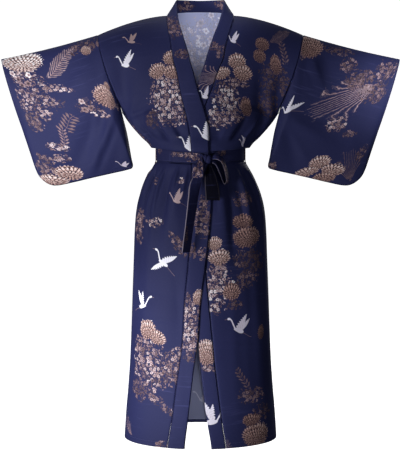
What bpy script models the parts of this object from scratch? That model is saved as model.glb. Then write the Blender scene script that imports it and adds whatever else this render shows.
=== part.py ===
"""A cotton yukata robe in its worn, hollow shape, tied with its own belt.

Metres, +Z up. -Y is the front, +X the wearer's left. The origin lies at the base of the neck,
midway between the shoulders, where a wearer carries the robe. Every piece of cloth is an open
surface, worked out from the tables of sections below, and a Solidify wall that grows outwards.
"""

import math
from collections import namedtuple

import bmesh
import bpy
from mathutils import Vector

# ---- cloth -----------------------------------------------------------------------------------
CLOTH = 0.0016  # wall of one layer of cotton
BAND_CLOTH = 0.0028  # wall of the folded, interlined neckband
SEAM = 0.0005  # air between two pieces at a seam
PLY = 0.0004  # air between two pieces that lie on each other
UNDERLAP = 0.003  # how far a front runs on beneath the neckband beside the neck
ARMHOLE_AIR = 0.0006  # air between a sleeve and the body
ARMPIT_AIR = 0.0030  # and at the armpit, where both walls grow into the same corner

# ---- neck and shoulders ----------------------------------------------------------------------
NECK_HALF = 0.0975  # middle to the neckband's seam on the shoulder
NECK_BACK = 0.065  # shoulder line to the seam at the nape
NAPE_RISE = 0.016  # height of the seam at the nape over the shoulder line
SHOULDER_HALF = 0.3075  # middle to the armhole on the shoulder
SHOULDER_DROP = 0.0585  # fall of the shoulder line from neck to armhole
SHOULDER_CURVE = 1.6  # how late along the shoulder it falls
YOKE_FRONT = Vector((0.0, -0.11, -0.02))  # how the front leaves the shoulder line
YOKE_BACK = Vector((0.0, 0.11, -0.02))  # how the back leaves it
YOKE_NAPE = Vector((0.0, 0.03, -0.12))  # how the back leaves the seam at the nape
YOKE_NECK_FLARE = 0.03  # how far the front swings out beside the neck
YOKE_STEPS = (0.0, 0.07, 0.16, 0.28, 0.42, 0.58, 0.78)  # rows, shoulder line to chest
BAND_RISES = 0.70  # above this row the neckband lies on the front, and below it beside it
SHOULDER_SEAM = 0.004  # the first row lies this share down, clear of the other side

# ---- the body, as sections from the chest to the hem ------------------------------------------
# z: height at the side. dip: how much lower it is at the middle of the front. shear: share of the
# shoulder's fall that it follows. half, front, back: reach to the side, to the front and to the
# back. gap: half the depth of the armhole. bell: 0 is an ellipse, 1 runs out flat into the sleeve.
# side: angle of the side seam from the middle of the front, in degrees.
Section = namedtuple("Section", "z dip shear half front back gap bell side")
BODY = (
    Section(-0.130, 0.0000, 0.75, 0.2800, 0.1020, 0.0880, 0.050, 1.00, 90),
    Section(-0.180, 0.0000, 0.42, 0.2690, 0.1100, 0.0930, 0.047, 1.00, 90),
    Section(-0.230, 0.0000, 0.17, 0.2535, 0.1145, 0.0955, 0.036, 0.90, 90),
    Section(-0.265, 0.0000, 0.05, 0.2405, 0.1150, 0.0960, 0.022, 0.75, 90),
    Section(-0.285, 0.0000, 0.01, 0.2345, 0.1150, 0.0955, 0.010, 0.60, 90),
    Section(-0.296, 0.0000, 0.00, 0.2310, 0.1145, 0.0950, 0.000, 0.45, 90),
    Section(-0.330, 0.0000, 0.00, 0.2055, 0.1130, 0.0950, 0.000, 0.20, 77),
    Section(-0.362, 0.0020, 0.00, 0.1770, 0.1140, 0.0975, 0.000, 0.07, 74),
    # the bodice falls over the belt in a roll and turns up again behind it
    Section(-0.378, 0.0060, 0.00, 0.1595, 0.1190, 0.1030, 0.000, 0.00, 74),
    Section(-0.388, 0.0100, 0.00, 0.1510, 0.1205, 0.1060, 0.000, 0.00, 74),
    Section(-0.3945, 0.0110, 0.00, 0.1460, 0.1180, 0.1045, 0.000, 0.00, 75),
    Section(-0.3905, 0.0075, 0.00, 0.1410, 0.1142, 0.1018, 0.000, 0.00, 75),
    Section(-0.3840, 0.0050, 0.00, 0.1350, 0.1055, 0.0975, 0.000, 0.00, 76),
    Section(-0.3920, 0.0050, 0.00, 0.1287, 0.0955, 0.0920, 0.000, 0.00, 77),
    Section(-0.4320, 0.0075, 0.00, 0.1287, 0.0950, 0.0925, 0.000, 0.00, 78),
    # the skirt
    Section(-0.441, 0.0070, 0.00, 0.1345, 0.0970, 0.0970, 0.000, 0.00, 79),
    Section(-0.458, 0.0040, 0.00, 0.1450, 0.1000, 0.1045, 0.000, 0.00, 80),
    Section(-0.483, 0.0000, 0.00, 0.1590, 0.1030, 0.1120, 0.000, 0.00, 81),
    Section(-0.531, 0.0000, 0.00, 0.1790, 0.1080, 0.1220, 0.000, 0.00, 83),
    Section(-0.579, 0.0000, 0.00, 0.1905, 0.1120, 0.1280, 0.000, 0.00, 85),
    Section(-0.642, 0.0000, 0.00, 0.1960, 0.1150, 0.1300, 0.000, 0.00, 87),
    Section(-0.732, 0.0000, 0.00, 0.1990, 0.1180, 0.1320, 0.000, 0.00, 89),
    Section(-0.822, 0.0000, 0.00, 0.2020, 0.1220, 0.1350, 0.000, 0.00, 89),
    Section(-0.930, 0.0000, 0.00, 0.2055, 0.1270, 0.1390, 0.000, 0.00, 88),
    Section(-1.030, 0.0000, 0.00, 0.2095, 0.1315, 0.1425, 0.000, 0.00, 87),
    Section(-1.110, 0.0000, 0.00, 0.2150, 0.1365, 0.1455, 0.000, 0.00, 86),
    Section(-1.180, 0.0000, 0.00, 0.2210, 0.1410, 0.1480, 0.000, 0.00, 85),
    Section(-1.258, 0.0000, 0.00, 0.2260, 0.1450, 0.1500, 0.000, 0.00, 84),
)
ARMPIT = 5  # number of the section where the armhole closes
BELT_SECTION = 13  # the belt lies round this section
SKIRT_SECTION = 14  # and the skirt starts at this one
TALLEST_ROW = 0.045  # a taller step between two sections gets a row in its middle
WAIST = (13.494, 13.506)  # a panel's bodice ends and its skirt starts here, under the belt

# ---- the two edges of the front band, sideways from the middle --------------------------------
# The right front (-X) is worn over the left one.
FrontEdge = namedtuple("FrontEdge", "z over_seam over_free under_seam under_free")
FRONT_EDGES = (
    FrontEdge(-0.130, -0.0815, -0.0320, 0.0690, 0.0175),
    FrontEdge(-0.180, -0.0680, -0.0185, 0.0497, 0.0020),
    FrontEdge(-0.230, -0.0590, -0.0060, 0.0320, -0.0130),
    FrontEdge(-0.290, -0.0440, 0.0120, 0.0090, -0.0330),
    FrontEdge(-0.330, -0.0345, 0.0220, -0.0030, -0.0460),
    FrontEdge(-0.400, -0.0247, 0.0246, -0.0110, -0.0580),
    FrontEdge(-0.440, -0.0245, 0.0262, -0.0115, -0.0590),
    FrontEdge(-0.540, -0.0255, 0.0322, -0.0060, -0.0550),
    FrontEdge(-0.640, -0.0280, 0.0255, 0.0030, -0.0440),
    FrontEdge(-0.740, -0.0350, 0.0140, 0.0140, -0.0330),
    FrontEdge(-0.840, -0.0450, 0.0010, 0.0240, -0.0210),
    FrontEdge(-0.950, -0.0510, -0.0065, 0.0340, -0.0075),
    FrontEdge(-1.030, -0.0620, -0.0178, 0.0420, 0.0003),
    FrontEdge(-1.110, -0.0730, -0.0272, 0.0520, 0.0094),
    FrontEdge(-1.180, -0.0825, -0.0357, 0.0610, 0.0186),
    FrontEdge(-1.258, -0.0943, -0.0448, 0.0725, 0.0308),
)
OVER_LIFT = 0.0046  # how far the upper front stands off to clear the lower one
LIFT_START = 0.050  # the lift begins this far beyond the lower front's edge
LIFT_RUN = 0.038  # and is full after this much more

# ---- the standing part of the neckband --------------------------------------------------------
# Its free edge, from the chest (0) over the shoulder line (1) to the nape (2), for each side.
CollarEdge = namedtuple("CollarEdge", "place over under")
COLLAR = (
    CollarEdge(0.00, None, None),
    CollarEdge(0.30, Vector((-0.0485, -0.0835, -0.0745)), Vector((0.0375, -0.0855, -0.0700))),
    CollarEdge(0.65, Vector((-0.0630, -0.0560, -0.0230)), Vector((0.0550, -0.0570, -0.0220))),
    CollarEdge(1.00, Vector((-0.0695, -0.0130, 0.0310)), Vector((0.0675, -0.0130, 0.0310))),
    CollarEdge(1.22, Vector((-0.0700, 0.0100, 0.0490)), Vector((0.0695, 0.0100, 0.0490))),
    CollarEdge(1.50, Vector((-0.0600, 0.0270, 0.0515)), Vector((0.0600, 0.0270, 0.0515))),
    CollarEdge(2.00, Vector((0.0, 0.0420, 0.0517)), Vector((0.0, 0.0420, 0.0517))),
)

# ---- folds of the body ------------------------------------------------------------------------
# Each runs from one place to another, a place being an angle round the body, in degrees, and a
# height. A ridge has a push above 0 and a trough one below 0.
Fold = namedtuple("Fold", "angle z to_angle to_z width push")
BODY_FOLDS = (
    # skirt, right front
    Fold(-19, -0.435, -22, -0.520, 0.013, -0.0050),
    Fold(-26, -0.435, -30, -0.740, 0.026, 0.0065),
    Fold(-36, -0.435, -38, -0.700, 0.024, -0.0070),
    Fold(-49, -0.435, -47, -0.800, 0.028, 0.0060),
    Fold(-62, -0.435, -57, -0.640, 0.024, -0.0060),
    Fold(-10, -0.450, -8, -0.640, 0.024, -0.0040),
    Fold(-42, -0.820, -55, -1.290, 0.060, 0.0050),
    Fold(-27, -0.900, -33, -1.290, 0.050, -0.0040),
    # skirt, left front
    Fold(20, -0.435, 22, -0.800, 0.028, 0.0085),
    Fold(31, -0.440, 33, -0.820, 0.030, -0.0080),
    Fold(45, -0.435, 48, -0.660, 0.022, 0.0055),
    Fold(56, -0.435, 60, -0.680, 0.022, -0.0060),
    Fold(68, -0.435, 72, -0.620, 0.020, 0.0040),
    Fold(52, -0.800, 60, -1.290, 0.060, 0.0045),
    Fold(35, -0.860, 38, -1.290, 0.050, -0.0040),
    # skirt, back
    Fold(104, -0.435, 108, -0.720, 0.030, -0.0065),
    Fold(120, -0.435, 122, -0.860, 0.034, 0.0075),
    Fold(137, -0.435, 138, -0.760, 0.032, -0.0070),
    Fold(154, -0.435, 150, -0.900, 0.034, 0.0070),
    Fold(171, -0.435, 168, -0.800, 0.032, -0.0065),
    Fold(-173, -0.435, -170, -0.860, 0.034, 0.0060),
    Fold(-158, -0.435, -154, -0.720, 0.030, -0.0070),
    Fold(-141, -0.435, -138, -0.880, 0.034, 0.0075),
    Fold(-124, -0.435, -126, -0.780, 0.032, -0.0070),
    Fold(-108, -0.435, -112, -0.700, 0.030, 0.0060),
    Fold(128, -0.880, 136, -1.290, 0.070, 0.0060),
    Fold(-145, -0.860, -150, -1.290, 0.070, 0.0060),
    # bodice, front
    Fold(-15, -0.400, -25, -0.300, 0.014, -0.0055),
    Fold(-24, -0.400, -40, -0.270, 0.022, 0.0055),
    Fold(-40, -0.400, -60, -0.290, 0.020, -0.0055),
    Fold(-58, -0.395, -72, -0.320, 0.018, 0.0045),
    Fold(14, -0.405, 18, -0.300, 0.016, -0.0055),
    Fold(23, -0.405, 34, -0.280, 0.020, 0.0060),
    Fold(36, -0.400, 52, -0.290, 0.020, -0.0055),
    Fold(54, -0.395, 70, -0.310, 0.020, 0.0050),
    Fold(-80, -0.250, -72, -0.100, 0.022, -0.0060),
    Fold(80, -0.250, 74, -0.120, 0.022, -0.0050),
    Fold(-62, -0.240, -50, -0.110, 0.028, 0.0045),
    # bodice, back
    Fold(170, -0.400, 172, -0.240, 0.026, 0.0060),
    Fold(153, -0.400, 148, -0.260, 0.026, -0.0060),
    Fold(135, -0.400, 120, -0.270, 0.026, 0.0060),
    Fold(-178, -0.400, -176, -0.280, 0.022, -0.0055),
    Fold(-160, -0.400, -152, -0.240, 0.026, 0.0060),
    Fold(-143, -0.400, -132, -0.270, 0.026, -0.0060),
    Fold(-124, -0.395, -108, -0.290, 0.024, 0.0055),
)
BEHIND = 0.001  # degrees past the side at which a section counts as the back
FOLD_METRES = 0.0030  # one degree round the body, as a length
BELT_QUIET = (-0.382, -0.448)  # between these heights the belt holds the cloth smooth
QUIET_RUN = 0.030  # length over which the folds come back

# ---- sleeves ----------------------------------------------------------------------------------
# Rings of the bag, from the armhole to the cuff: how far along the upper fold a ring starts, where
# it meets the lower edge, and half the bag's depth.
Ring = namedtuple("Ring", "along x z depth")
SLEEVE = (
    Ring(0.000, 0.2325, -0.296, 0.048),
    Ring(0.045, 0.2200, -0.360, 0.047),
    Ring(0.090, 0.2085, -0.425, 0.045),
    Ring(0.125, 0.2040, -0.452, 0.044),
    Ring(0.175, 0.2200, -0.4605, 0.043),
    Ring(0.290, 0.2700, -0.4720, 0.042),
    Ring(0.430, 0.3250, -0.4845, 0.040),
    Ring(0.570, 0.3800, -0.4975, 0.038),
    Ring(0.690, 0.4270, -0.5070, 0.036),
    Ring(0.760, 0.4530, -0.5040, 0.035),
    Ring(0.820, 0.4760, -0.4880, 0.034),
    Ring(0.870, 0.4915, -0.4640, 0.033),
    Ring(0.935, 0.5100, -0.4100, 0.032),
    Ring(1.000, 0.5290, -0.3520, 0.031),
)
CUFF_TOP = Vector((0.5965, 0.0, -0.1310))  # where the upper fold meets the cuff
SLEEVE_SAG = 0.004  # how far the upper fold hangs below a straight line
SLEEVE_FULL = 0.60  # below 1, the bag is deepest above its middle
ARMHOLE_FADE = 0.30  # share of the sleeve over which the armhole's shape dies out

# Folds of the sleeves, in the sleeve's own plane, from one place to another.
SleeveFold = namedtuple("SleeveFold", "x z to_x to_z width push")
SLEEVE_FOLDS = {
    -1: (
        SleeveFold(0.245, -0.270, 0.345, -0.520, 0.026, 0.0090),
        SleeveFold(0.262, -0.250, 0.415, -0.530, 0.028, -0.0085),
        SleeveFold(0.300, -0.110, 0.420, -0.380, 0.040, 0.0060),
        SleeveFold(0.360, -0.100, 0.520, -0.400, 0.050, -0.0050),
        SleeveFold(0.225, -0.330, 0.262, -0.500, 0.022, -0.0050),
    ),
    1: (
        SleeveFold(0.245, -0.275, 0.440, -0.335, 0.024, -0.0075),
        SleeveFold(0.245, -0.290, 0.420, -0.400, 0.026, 0.0080),
        SleeveFold(0.238, -0.300, 0.300, -0.500, 0.024, -0.0070),
        SleeveFold(0.310, -0.090, 0.350, -0.240, 0.024, 0.0060),
        SleeveFold(0.360, -0.110, 0.400, -0.250, 0.028, -0.0060),
        SleeveFold(0.470, -0.140, 0.440, -0.480, 0.045, 0.0045),
    ),
}

# ---- belt, its knot, bow and carriers ---------------------------------------------------------
BELT_CLOTH = 0.0018
BELT_TOP = -0.3945  # at the side
BELT_BOTTOM = -0.4335
BELT_SAG = 0.0075  # how much lower the belt lies at the middle of the front
BELT_BACK_OUT = 0.0040  # belt's inner face off the body's, at the sides and the back
BELT_FRONT_OUT = 0.0086  # and where both fronts and their bands lie beneath it
BELT_STEP_LEFT = (0.032, 0.078)  # where the belt comes in again at the wearer's left
BELT_STEP_RIGHT = (-0.064, -0.112)  # and at the right
BELT_SIDES = 60
KNOT = Vector((0.0195, -0.1188, -0.4300))
KNOT_HALF = Vector((0.0135, 0.0137, 0.0145))
KNOT_SQUARE = 0.8  # 1 is a ball, and less is boxier
KNOT_SIDES, KNOT_RINGS = 16, 9
GATHER = 0.026  # the belt narrows over this length beside the knot
GATHER_HALF = 0.0105  # to this half width
CARRIER_WIDTH = 0.008
CARRIER_ANGLE = 79
CARRIER_SPAN = (-0.3985, -0.4345, -0.4420)  # top, under the belt, and end on the skirt
CARRIER_CLEAR = 0.0014  # air between the carrier's end and the skirt

# Ribbons of the bow: places along the middle of the ribbon, and the way straight across it there,
# from one edge to the other.
Station = namedtuple("Station", "x y z across_x across_y across_z")
RIBBONS = {
    "bow_loop_right": (
        Station(0.0054, -0.1240, -0.4300, 0.000, 0.000, 0.010),
        Station(-0.0020, -0.1310, -0.4340, 0.012, 0.000, 0.012),
        Station(-0.0050, -0.1405, -0.4480, 0.026, 0.006, 0.006),
        Station(-0.0068, -0.1440, -0.4650, 0.032, 0.005, 0.002),
        Station(-0.0078, -0.1430, -0.4780, 0.034, 0.004, 0.000),
        Station(-0.0080, -0.1395, -0.4820, 0.034, 0.004, 0.000),
        Station(-0.0076, -0.1360, -0.4780, 0.033, 0.004, 0.000),
        Station(-0.0060, -0.1330, -0.4660, 0.029, 0.004, 0.002),
        Station(-0.0030, -0.1300, -0.4530, 0.020, 0.003, 0.004),
        Station(0.0058, -0.1255, -0.4415, 0.005, 0.002, 0.004),
    ),
    "bow_loop_left": (
        Station(0.0342, -0.1205, -0.4255, 0.000, 0.006, 0.009),
        Station(0.0430, -0.1225, -0.4225, 0.002, 0.012, 0.014),
        Station(0.0550, -0.1230, -0.4260, 0.006, 0.022, 0.012),
        Station(0.0660, -0.1215, -0.4380, 0.009, 0.031, 0.006),
        Station(0.0740, -0.1190, -0.4600, 0.010, 0.035, 0.002),
        Station(0.0785, -0.1180, -0.4860, 0.010, 0.036, 0.000),
        Station(0.0755, -0.1180, -0.5000, 0.010, 0.036, 0.000),
        Station(0.0690, -0.1180, -0.4960, 0.010, 0.036, 0.000),
        Station(0.0610, -0.1200, -0.4760, 0.009, 0.034, 0.000),
        Station(0.0520, -0.1215, -0.4560, 0.007, 0.026, 0.002),
        Station(0.0430, -0.1215, -0.4420, 0.003, 0.014, 0.006),
        Station(0.0338, -0.1210, -0.4365, 0.000, 0.006, 0.008),
    ),
    "tail_right": (
        Station(0.0125, -0.1215, -0.4451, 0.009, 0.001, 0.000),
        Station(0.0040, -0.1235, -0.4580, 0.018, 0.002, 0.003),
        Station(-0.0060, -0.1265, -0.4760, 0.029, 0.005, 0.006),
        Station(-0.0150, -0.1345, -0.5020, 0.033, 0.018, 0.004),
        Station(-0.0200, -0.1415, -0.5350, 0.030, 0.028, 0.002),
        Station(-0.0250, -0.1450, -0.5750, 0.027, 0.032, 0.000),
        Station(-0.0305, -0.1475, -0.6150, 0.025, 0.033, 0.000),
        Station(-0.0360, -0.1495, -0.6550, 0.024, 0.034, 0.000),
        Station(-0.0410, -0.1510, -0.6950, 0.023, 0.034, 0.000),
    ),
    "tail_left": (
        Station(0.0250, -0.1210, -0.4451, 0.009, -0.001, 0.000),
        Station(0.0270, -0.1230, -0.4620, 0.021, -0.002, 0.000),
        Station(0.0290, -0.1260, -0.4830, 0.034, -0.005, 0.000),
        Station(0.0325, -0.1300, -0.5080, 0.040, -0.007, 0.000),
        Station(0.0345, -0.1325, -0.5310, 0.041, -0.007, 0.000),
        Station(0.0355, -0.1340, -0.5480, 0.041, -0.006, 0.000),
    ),
}

# ---- quads across each piece ------------------------------------------------------------------
FRONT_QUADS = 12
NECK_QUADS = 5  # of the back, from the nape to the neckband's corner
BACK_QUADS = 11  # of the back, from there to the side
BAND_QUADS = 3
RIBBON_QUADS = 3

NAVY = (0.014, 0.017, 0.060, 1.0)
BRONZE = (0.075, 0.047, 0.045, 1.0)


# ---- reading the tables -----------------------------------------------------------------------
def between(a, b, share):
    """The value that lies a share of the way from a to b."""
    return a + (b - a) * share


def ease(share):
    """A share from 0 to 1 that starts and ends softly."""
    share = min(1.0, max(0.0, share))
    return share * share * (3.0 - 2.0 * share)


def smooth_row(table, place):
    """A row of the table at a place between its rows, on a smooth curve through them all."""
    first = max(0, min(len(table) - 2, math.floor(place)))
    share = place - first
    before = table[max(0, first - 1)]
    after = table[min(len(table) - 1, first + 2)]
    values = []
    for p, a, b, n in zip(before, table[first], table[first + 1], after):
        start = (b - p) * 0.5
        stop = (n - a) * 0.5
        values.append(hermite(a, start, b, stop, share))
    return type(table[0])(*values)


def hermite(a, leave, b, arrive, t):
    """A point on the cubic that leaves a and arrives at b with the given tangents."""
    return (
        a * (1.0 + 2.0 * t) * (1.0 - t) ** 2
        + leave * t * (1.0 - t) ** 2
        + b * t * t * (3.0 - 2.0 * t)
        + arrive * t * t * (t - 1.0)
    )


def place_at(table, column, value):
    """The place, between a table's rows, where a rising or falling column has a value."""
    heads = [getattr(row, column) for row in table]
    if heads[-1] < heads[0]:
        heads = [-head for head in heads]
        value = -value
    value = min(max(value, heads[0]), heads[-1])
    for number in range(len(heads) - 1):
        if value <= heads[number + 1]:
            return number + (value - heads[number]) / (heads[number + 1] - heads[number])
    return float(len(heads) - 1)


def front_edge(z):
    """The sideways places of both front bands' edges at a height."""
    return smooth_row(FRONT_EDGES, place_at(FRONT_EDGES, "z", z))


# ---- the body's surface -----------------------------------------------------------------------
def shoulder_fall(x):
    """How far the shoulder line lies below the neck, sideways from the middle."""
    share = max(0.0, abs(x) - NECK_HALF) / (SHOULDER_HALF - NECK_HALF)
    return SHOULDER_DROP * share**SHOULDER_CURVE


def across(section, turn):
    """Share of the half width that a turn of 0 to 90 degrees has reached."""
    return between(math.sin(math.radians(turn)), turn / 90.0, section.bell)


def section_point(section, angle):
    """A point of a section. The angle is 0 in front, above 0 to the left, and 180 behind."""
    angle = (angle + 180.0) % 360.0 - 180.0
    turn = abs(angle)
    front = turn <= 90.0
    turn = turn if front else 180.0 - turn
    cosine = math.cos(math.radians(turn))
    bulge = between(cosine, cosine * cosine, section.bell)
    depth = between(section.gap, section.front if front else section.back, bulge)
    x = math.copysign(section.half * across(section, turn), angle)
    z = section.z - section.shear * shoulder_fall(x)
    if front:
        z -= section.dip * cosine * cosine
    return Vector((x, -depth if front else depth, z))


def angle_at(section, x):
    """The angle in front at which a section has gone sideways to x."""
    low, high = 0.0, 90.0
    for _ in range(30):
        middle = (low + high) / 2.0
        if section.half * across(section, middle) < abs(x):
            low = middle
        else:
            high = middle
    return math.copysign(low, x)


def outward(place, angle):
    """The direction out of the body's surface at a section's place."""
    step, turn = 0.05, 1.5
    above = smooth_row(BODY, max(0.0, place - step))
    below = smooth_row(BODY, min(len(BODY) - 1.0, place + step))
    here = smooth_row(BODY, place)
    down = section_point(below, angle) - section_point(above, angle)
    aside = section_point(here, angle + turn) - section_point(here, angle - turn)
    return down.cross(aside).normalized()


def level_outward(section, angle):
    """The level direction that points out of a section."""
    turn = 1.5
    run = section_point(section, angle + turn) - section_point(section, angle - turn)
    return Vector((run.y, -run.x, 0.0)).normalized()


def body_folds(angle, z):
    """How far all folds push the body's surface out at a place."""
    upper, lower = BELT_QUIET
    quiet = ease((z - upper) / QUIET_RUN) if z > (upper + lower) / 2 else ease((lower - z) / QUIET_RUN)
    push = 0.0
    for fold in BODY_FOLDS:
        turn = (angle - fold.angle + 180.0) % 360.0 - 180.0
        here = Vector((turn * FOLD_METRES, z - fold.z))
        way = Vector(((fold.to_angle - fold.angle) * FOLD_METRES, fold.to_z - fold.z))
        push += fold.push * bar(here, way, fold.width)
    return push * quiet


def bar(here, way, width):
    """A soft bar along a way: 1 at its strongest, 0 beyond its ends and far beside it."""
    share = here.dot(way) / way.length_squared
    if not 0.0 < share < 1.0:
        return 0.0
    aside = (here.x * way.y - here.y * way.x) / way.length
    return math.sin(math.pi * share**0.6) * math.exp(-((aside / width) ** 2))


def body_point(angle, place, out=0.0):
    """A point of the body at a section's place, moved out of its inner face."""
    section = smooth_row(BODY, place)
    point = section_point(section, angle)
    return point + outward(place, angle) * (out + body_folds(angle, point.z))


def over_lift(x, z):
    """How far the upper front stands off the body where the lower front lies beneath it."""
    start = front_edge(z).under_free - LIFT_START
    return OVER_LIFT * ease((x - start) / LIFT_RUN)


def front_point(x, place, out=0.0, over=False):
    """A point of a front, sideways from the middle, at a section's place."""
    section = smooth_row(BODY, place)
    if over:
        out += over_lift(x, section.z)
    return body_point(angle_at(section, x), place, out)


def body_places():
    """The rows of the body, as places between the table's sections."""
    places = []
    for number in range(len(BODY) - 1):
        places.append(float(number))
        if BODY[number].z - BODY[number + 1].z > TALLEST_ROW:
            places.append(number + 0.5)
    return sorted(places + list(WAIST)) + [float(len(BODY) - 1)]


# ---- the yoke: from the neck and the shoulder line down to the first section ------------------
def yoke_curve(top, leave, angle, t):
    """A point on the way from the top edge (0) down to the first section (1)."""
    chest = section_point(BODY[0], angle)
    below = section_point(smooth_row(BODY, 0.1), angle)
    arrive = (below - chest).normalized() * (chest - top).length
    return hermite(top, leave, chest, arrive, t)


def chest_angle(side, share):
    """Where a place across the front's yoke comes down on the first section."""
    edge = FRONT_EDGES[0].over_seam if side < 0 else FRONT_EDGES[0].under_seam
    return between(angle_at(BODY[0], edge), side * 90.0, share)


def front_yoke(side, share, t):
    """The front's yoke: share is 0 at the neckband's seam and 1 at the armhole."""
    x = side * between(NECK_HALF, SHOULDER_HALF, share)
    top = Vector((x, 0.0, -shoulder_fall(x)))
    leave = YOKE_FRONT + Vector((side * YOKE_NECK_FLARE * (1.0 - share) ** 2, 0.0, 0.0))
    return yoke_curve(top, leave, chest_angle(side, share), t)


def back_angle(side, share):
    """Where a place across the back's yoke comes down: just behind the armhole at its outer end."""
    return side * max(90.0 + BEHIND, 180.0 - 90.0 * share)


def back_yoke(side, share, t):
    """The back's yoke: share is 0 at the nape and 1 at the armhole."""
    corner = NECK_HALF / SHOULDER_HALF
    if share < corner:
        turn = math.radians(90.0 * share / corner)
        top = Vector((side * NECK_HALF * math.sin(turn), NECK_BACK * math.cos(turn), 0.0))
        top.z = NAPE_RISE * math.cos(turn)
        leave = YOKE_BACK.lerp(YOKE_NAPE, math.cos(turn) ** 2)
    else:
        x = side * SHOULDER_HALF * share
        top = Vector((x, 0.0, -shoulder_fall(x)))
        leave = YOKE_BACK
    return yoke_curve(top, leave, back_angle(side, share), t)


def yoke_normal(yoke, side, share, t):
    """The direction out of a yoke at one of its points."""
    step = 0.01
    aside = yoke(side, min(1.0, share + step), t) - yoke(side, max(0.0, share - step), t)
    down = yoke(side, share, min(1.0, t + step)) - yoke(side, share, max(0.0, t - step))
    normal = aside.cross(down).normalized() * side
    return -normal if yoke is front_yoke else normal


# ---- making solids ----------------------------------------------------------------------------
def clear_scene():
    for item in list(bpy.data.objects):
        bpy.data.objects.remove(item, do_unlink=True)


def dye(name, colour):
    """A cotton finish of one colour."""
    material = bpy.data.materials.new(name)
    material.use_nodes = True
    shader = material.node_tree.nodes["Principled BSDF"]
    shader.inputs["Base Color"].default_value = colour
    shader.inputs["Roughness"].default_value = 0.62
    shader.inputs["Metallic"].default_value = 0.0
    return material


def add_piece(name, mesh, colour):
    """Puts a mesh in the robe's collection as a named piece with its own finish."""
    piece = bpy.data.objects.new(name, mesh)
    mesh.materials.append(dye(name, colour))
    mesh.shade_smooth()
    ROBE.objects.link(piece)
    return piece


def cloth(name, rows, colour, wall=CLOTH, closed=False, out_of=None):
    """A piece of cloth: a loft through rows of points, thickened out of the side named.

    out_of is a point on the hollow's side of the first face, which the wall grows away from."""
    shape = bmesh.new()
    lines = [[shape.verts.new(point) for point in row] for row in rows]
    for upper, lower in zip(lines, lines[1:]):
        count = len(upper)
        for number in range(count if closed else count - 1):
            after = (number + 1) % count
            shape.faces.new((upper[number], upper[after], lower[after], lower[number]))
    shape.faces.ensure_lookup_table()
    middle = shape.faces[len(shape.faces) // 2]
    middle.normal_update()
    if middle.normal.dot(middle.calc_center_median() - out_of) < 0.0:
        bmesh.ops.reverse_faces(shape, faces=shape.faces)
    mesh = bpy.data.meshes.new(name)
    shape.to_mesh(mesh)
    shape.free()
    piece = add_piece(name, mesh, colour)
    solid = piece.modifiers.new("wall", "SOLIDIFY")
    solid.thickness = wall
    solid.offset = 1.0
    solid.use_rim = True
    return piece


# ---- the pieces -------------------------------------------------------------------------------
def spread(count):
    return [number / count for number in range(count + 1)]


def yoke_rows(yoke, columns, angle_of):
    """Rows of a yoke, with the body's folds fading in from the shoulder line."""
    rows = []
    for t in YOKE_STEPS:
        row = []
        for side, share in columns:
            point = yoke(side, share, max(t, SHOULDER_SEAM))
            push = body_folds(angle_of(side, share), point.z) * t
            row.append(point + yoke_normal(yoke, side, share, t) * push)
        rows.append(row)
    return rows


def make_panel(name, rows):
    """A panel as two pieces, its bodice and its skirt, which meet beneath the belt."""
    split = len(YOKE_STEPS) + body_places().index(WAIST[1])
    middle = rows[0][len(rows[0]) // 2].x / 2
    cloth(name + "_bodice", rows[:split], NAVY, out_of=Vector((middle, 0.0, -0.25)))
    cloth(name + "_skirt", rows[split:], NAVY, out_of=Vector((middle, 0.0, -0.80)))


def make_front(name, side, over):
    """One front, from the shoulder line to the hem and from the neckband's seam to the side."""
    shares = spread(FRONT_QUADS)
    rows = yoke_rows(front_yoke, [(side, share) for share in shares], chest_angle)
    for t, row in zip(YOKE_STEPS, rows):
        lap = UNDERLAP if t < BAND_RISES else -SEAM
        row[0] += (row[0] - row[1]).normalized() * lap
    for place in body_places():
        section = smooth_row(BODY, place)
        edges = front_edge(section.z)
        seam = (edges.over_seam if over else edges.under_seam) + side * SEAM
        start = angle_at(section, seam)
        stop = side * (section.side - math.degrees(SEAM / 2 / section.half))
        row = []
        for share in shares:
            angle = between(start, stop, share)
            lift = over_lift(section_point(section, angle).x, section.z) if over else 0.0
            row.append(body_point(angle, place, lift))
        rows.append(row)
    make_panel(name, rows)


def back_shares():
    """Places across half the back, with one exactly at the neckband's corner."""
    corner = NECK_HALF / SHOULDER_HALF
    inner = [corner * share for share in spread(NECK_QUADS)]
    outer = [between(corner, 1.0, share) for share in spread(BACK_QUADS - NECK_QUADS)]
    return inner + outer[1:]


def make_back():
    """The back, from the nape and the shoulder line to the hem, side seam to side seam."""
    half = back_shares()
    columns = [(-1, share) for share in reversed(half)] + [(1, share) for share in half[1:]]
    rows = yoke_rows(back_yoke, columns, back_angle)
    for place in body_places():
        section = smooth_row(BODY, place)
        stop = section.side + math.degrees(SEAM / 2 / section.half)
        rows.append([body_point(side * between(180.0, stop, share), place) for side, share in columns])
    make_panel("back", rows)


def armhole(side, half):
    """The armhole's edge from the shoulder line to the armpit: half is -1 in front, 1 behind."""
    yoke = front_yoke if half < 0 else back_yoke
    points = [yoke(side, 1.0, t) for t in YOKE_STEPS]
    for number in range(ARMPIT + 1):
        points.append(section_point(BODY[number], side * (90.0 + half * BEHIND)))
    return points


def sleeve_push(side, x, z):
    """How far the sleeve's folds push it forwards at a place in its plane."""
    push = 0.0
    for fold in SLEEVE_FOLDS[side]:
        here = Vector((abs(x) - fold.x, z - fold.z))
        way = Vector((fold.to_x - fold.x, fold.to_z - fold.z))
        push += fold.push * bar(here, way, fold.width)
    return push


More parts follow.
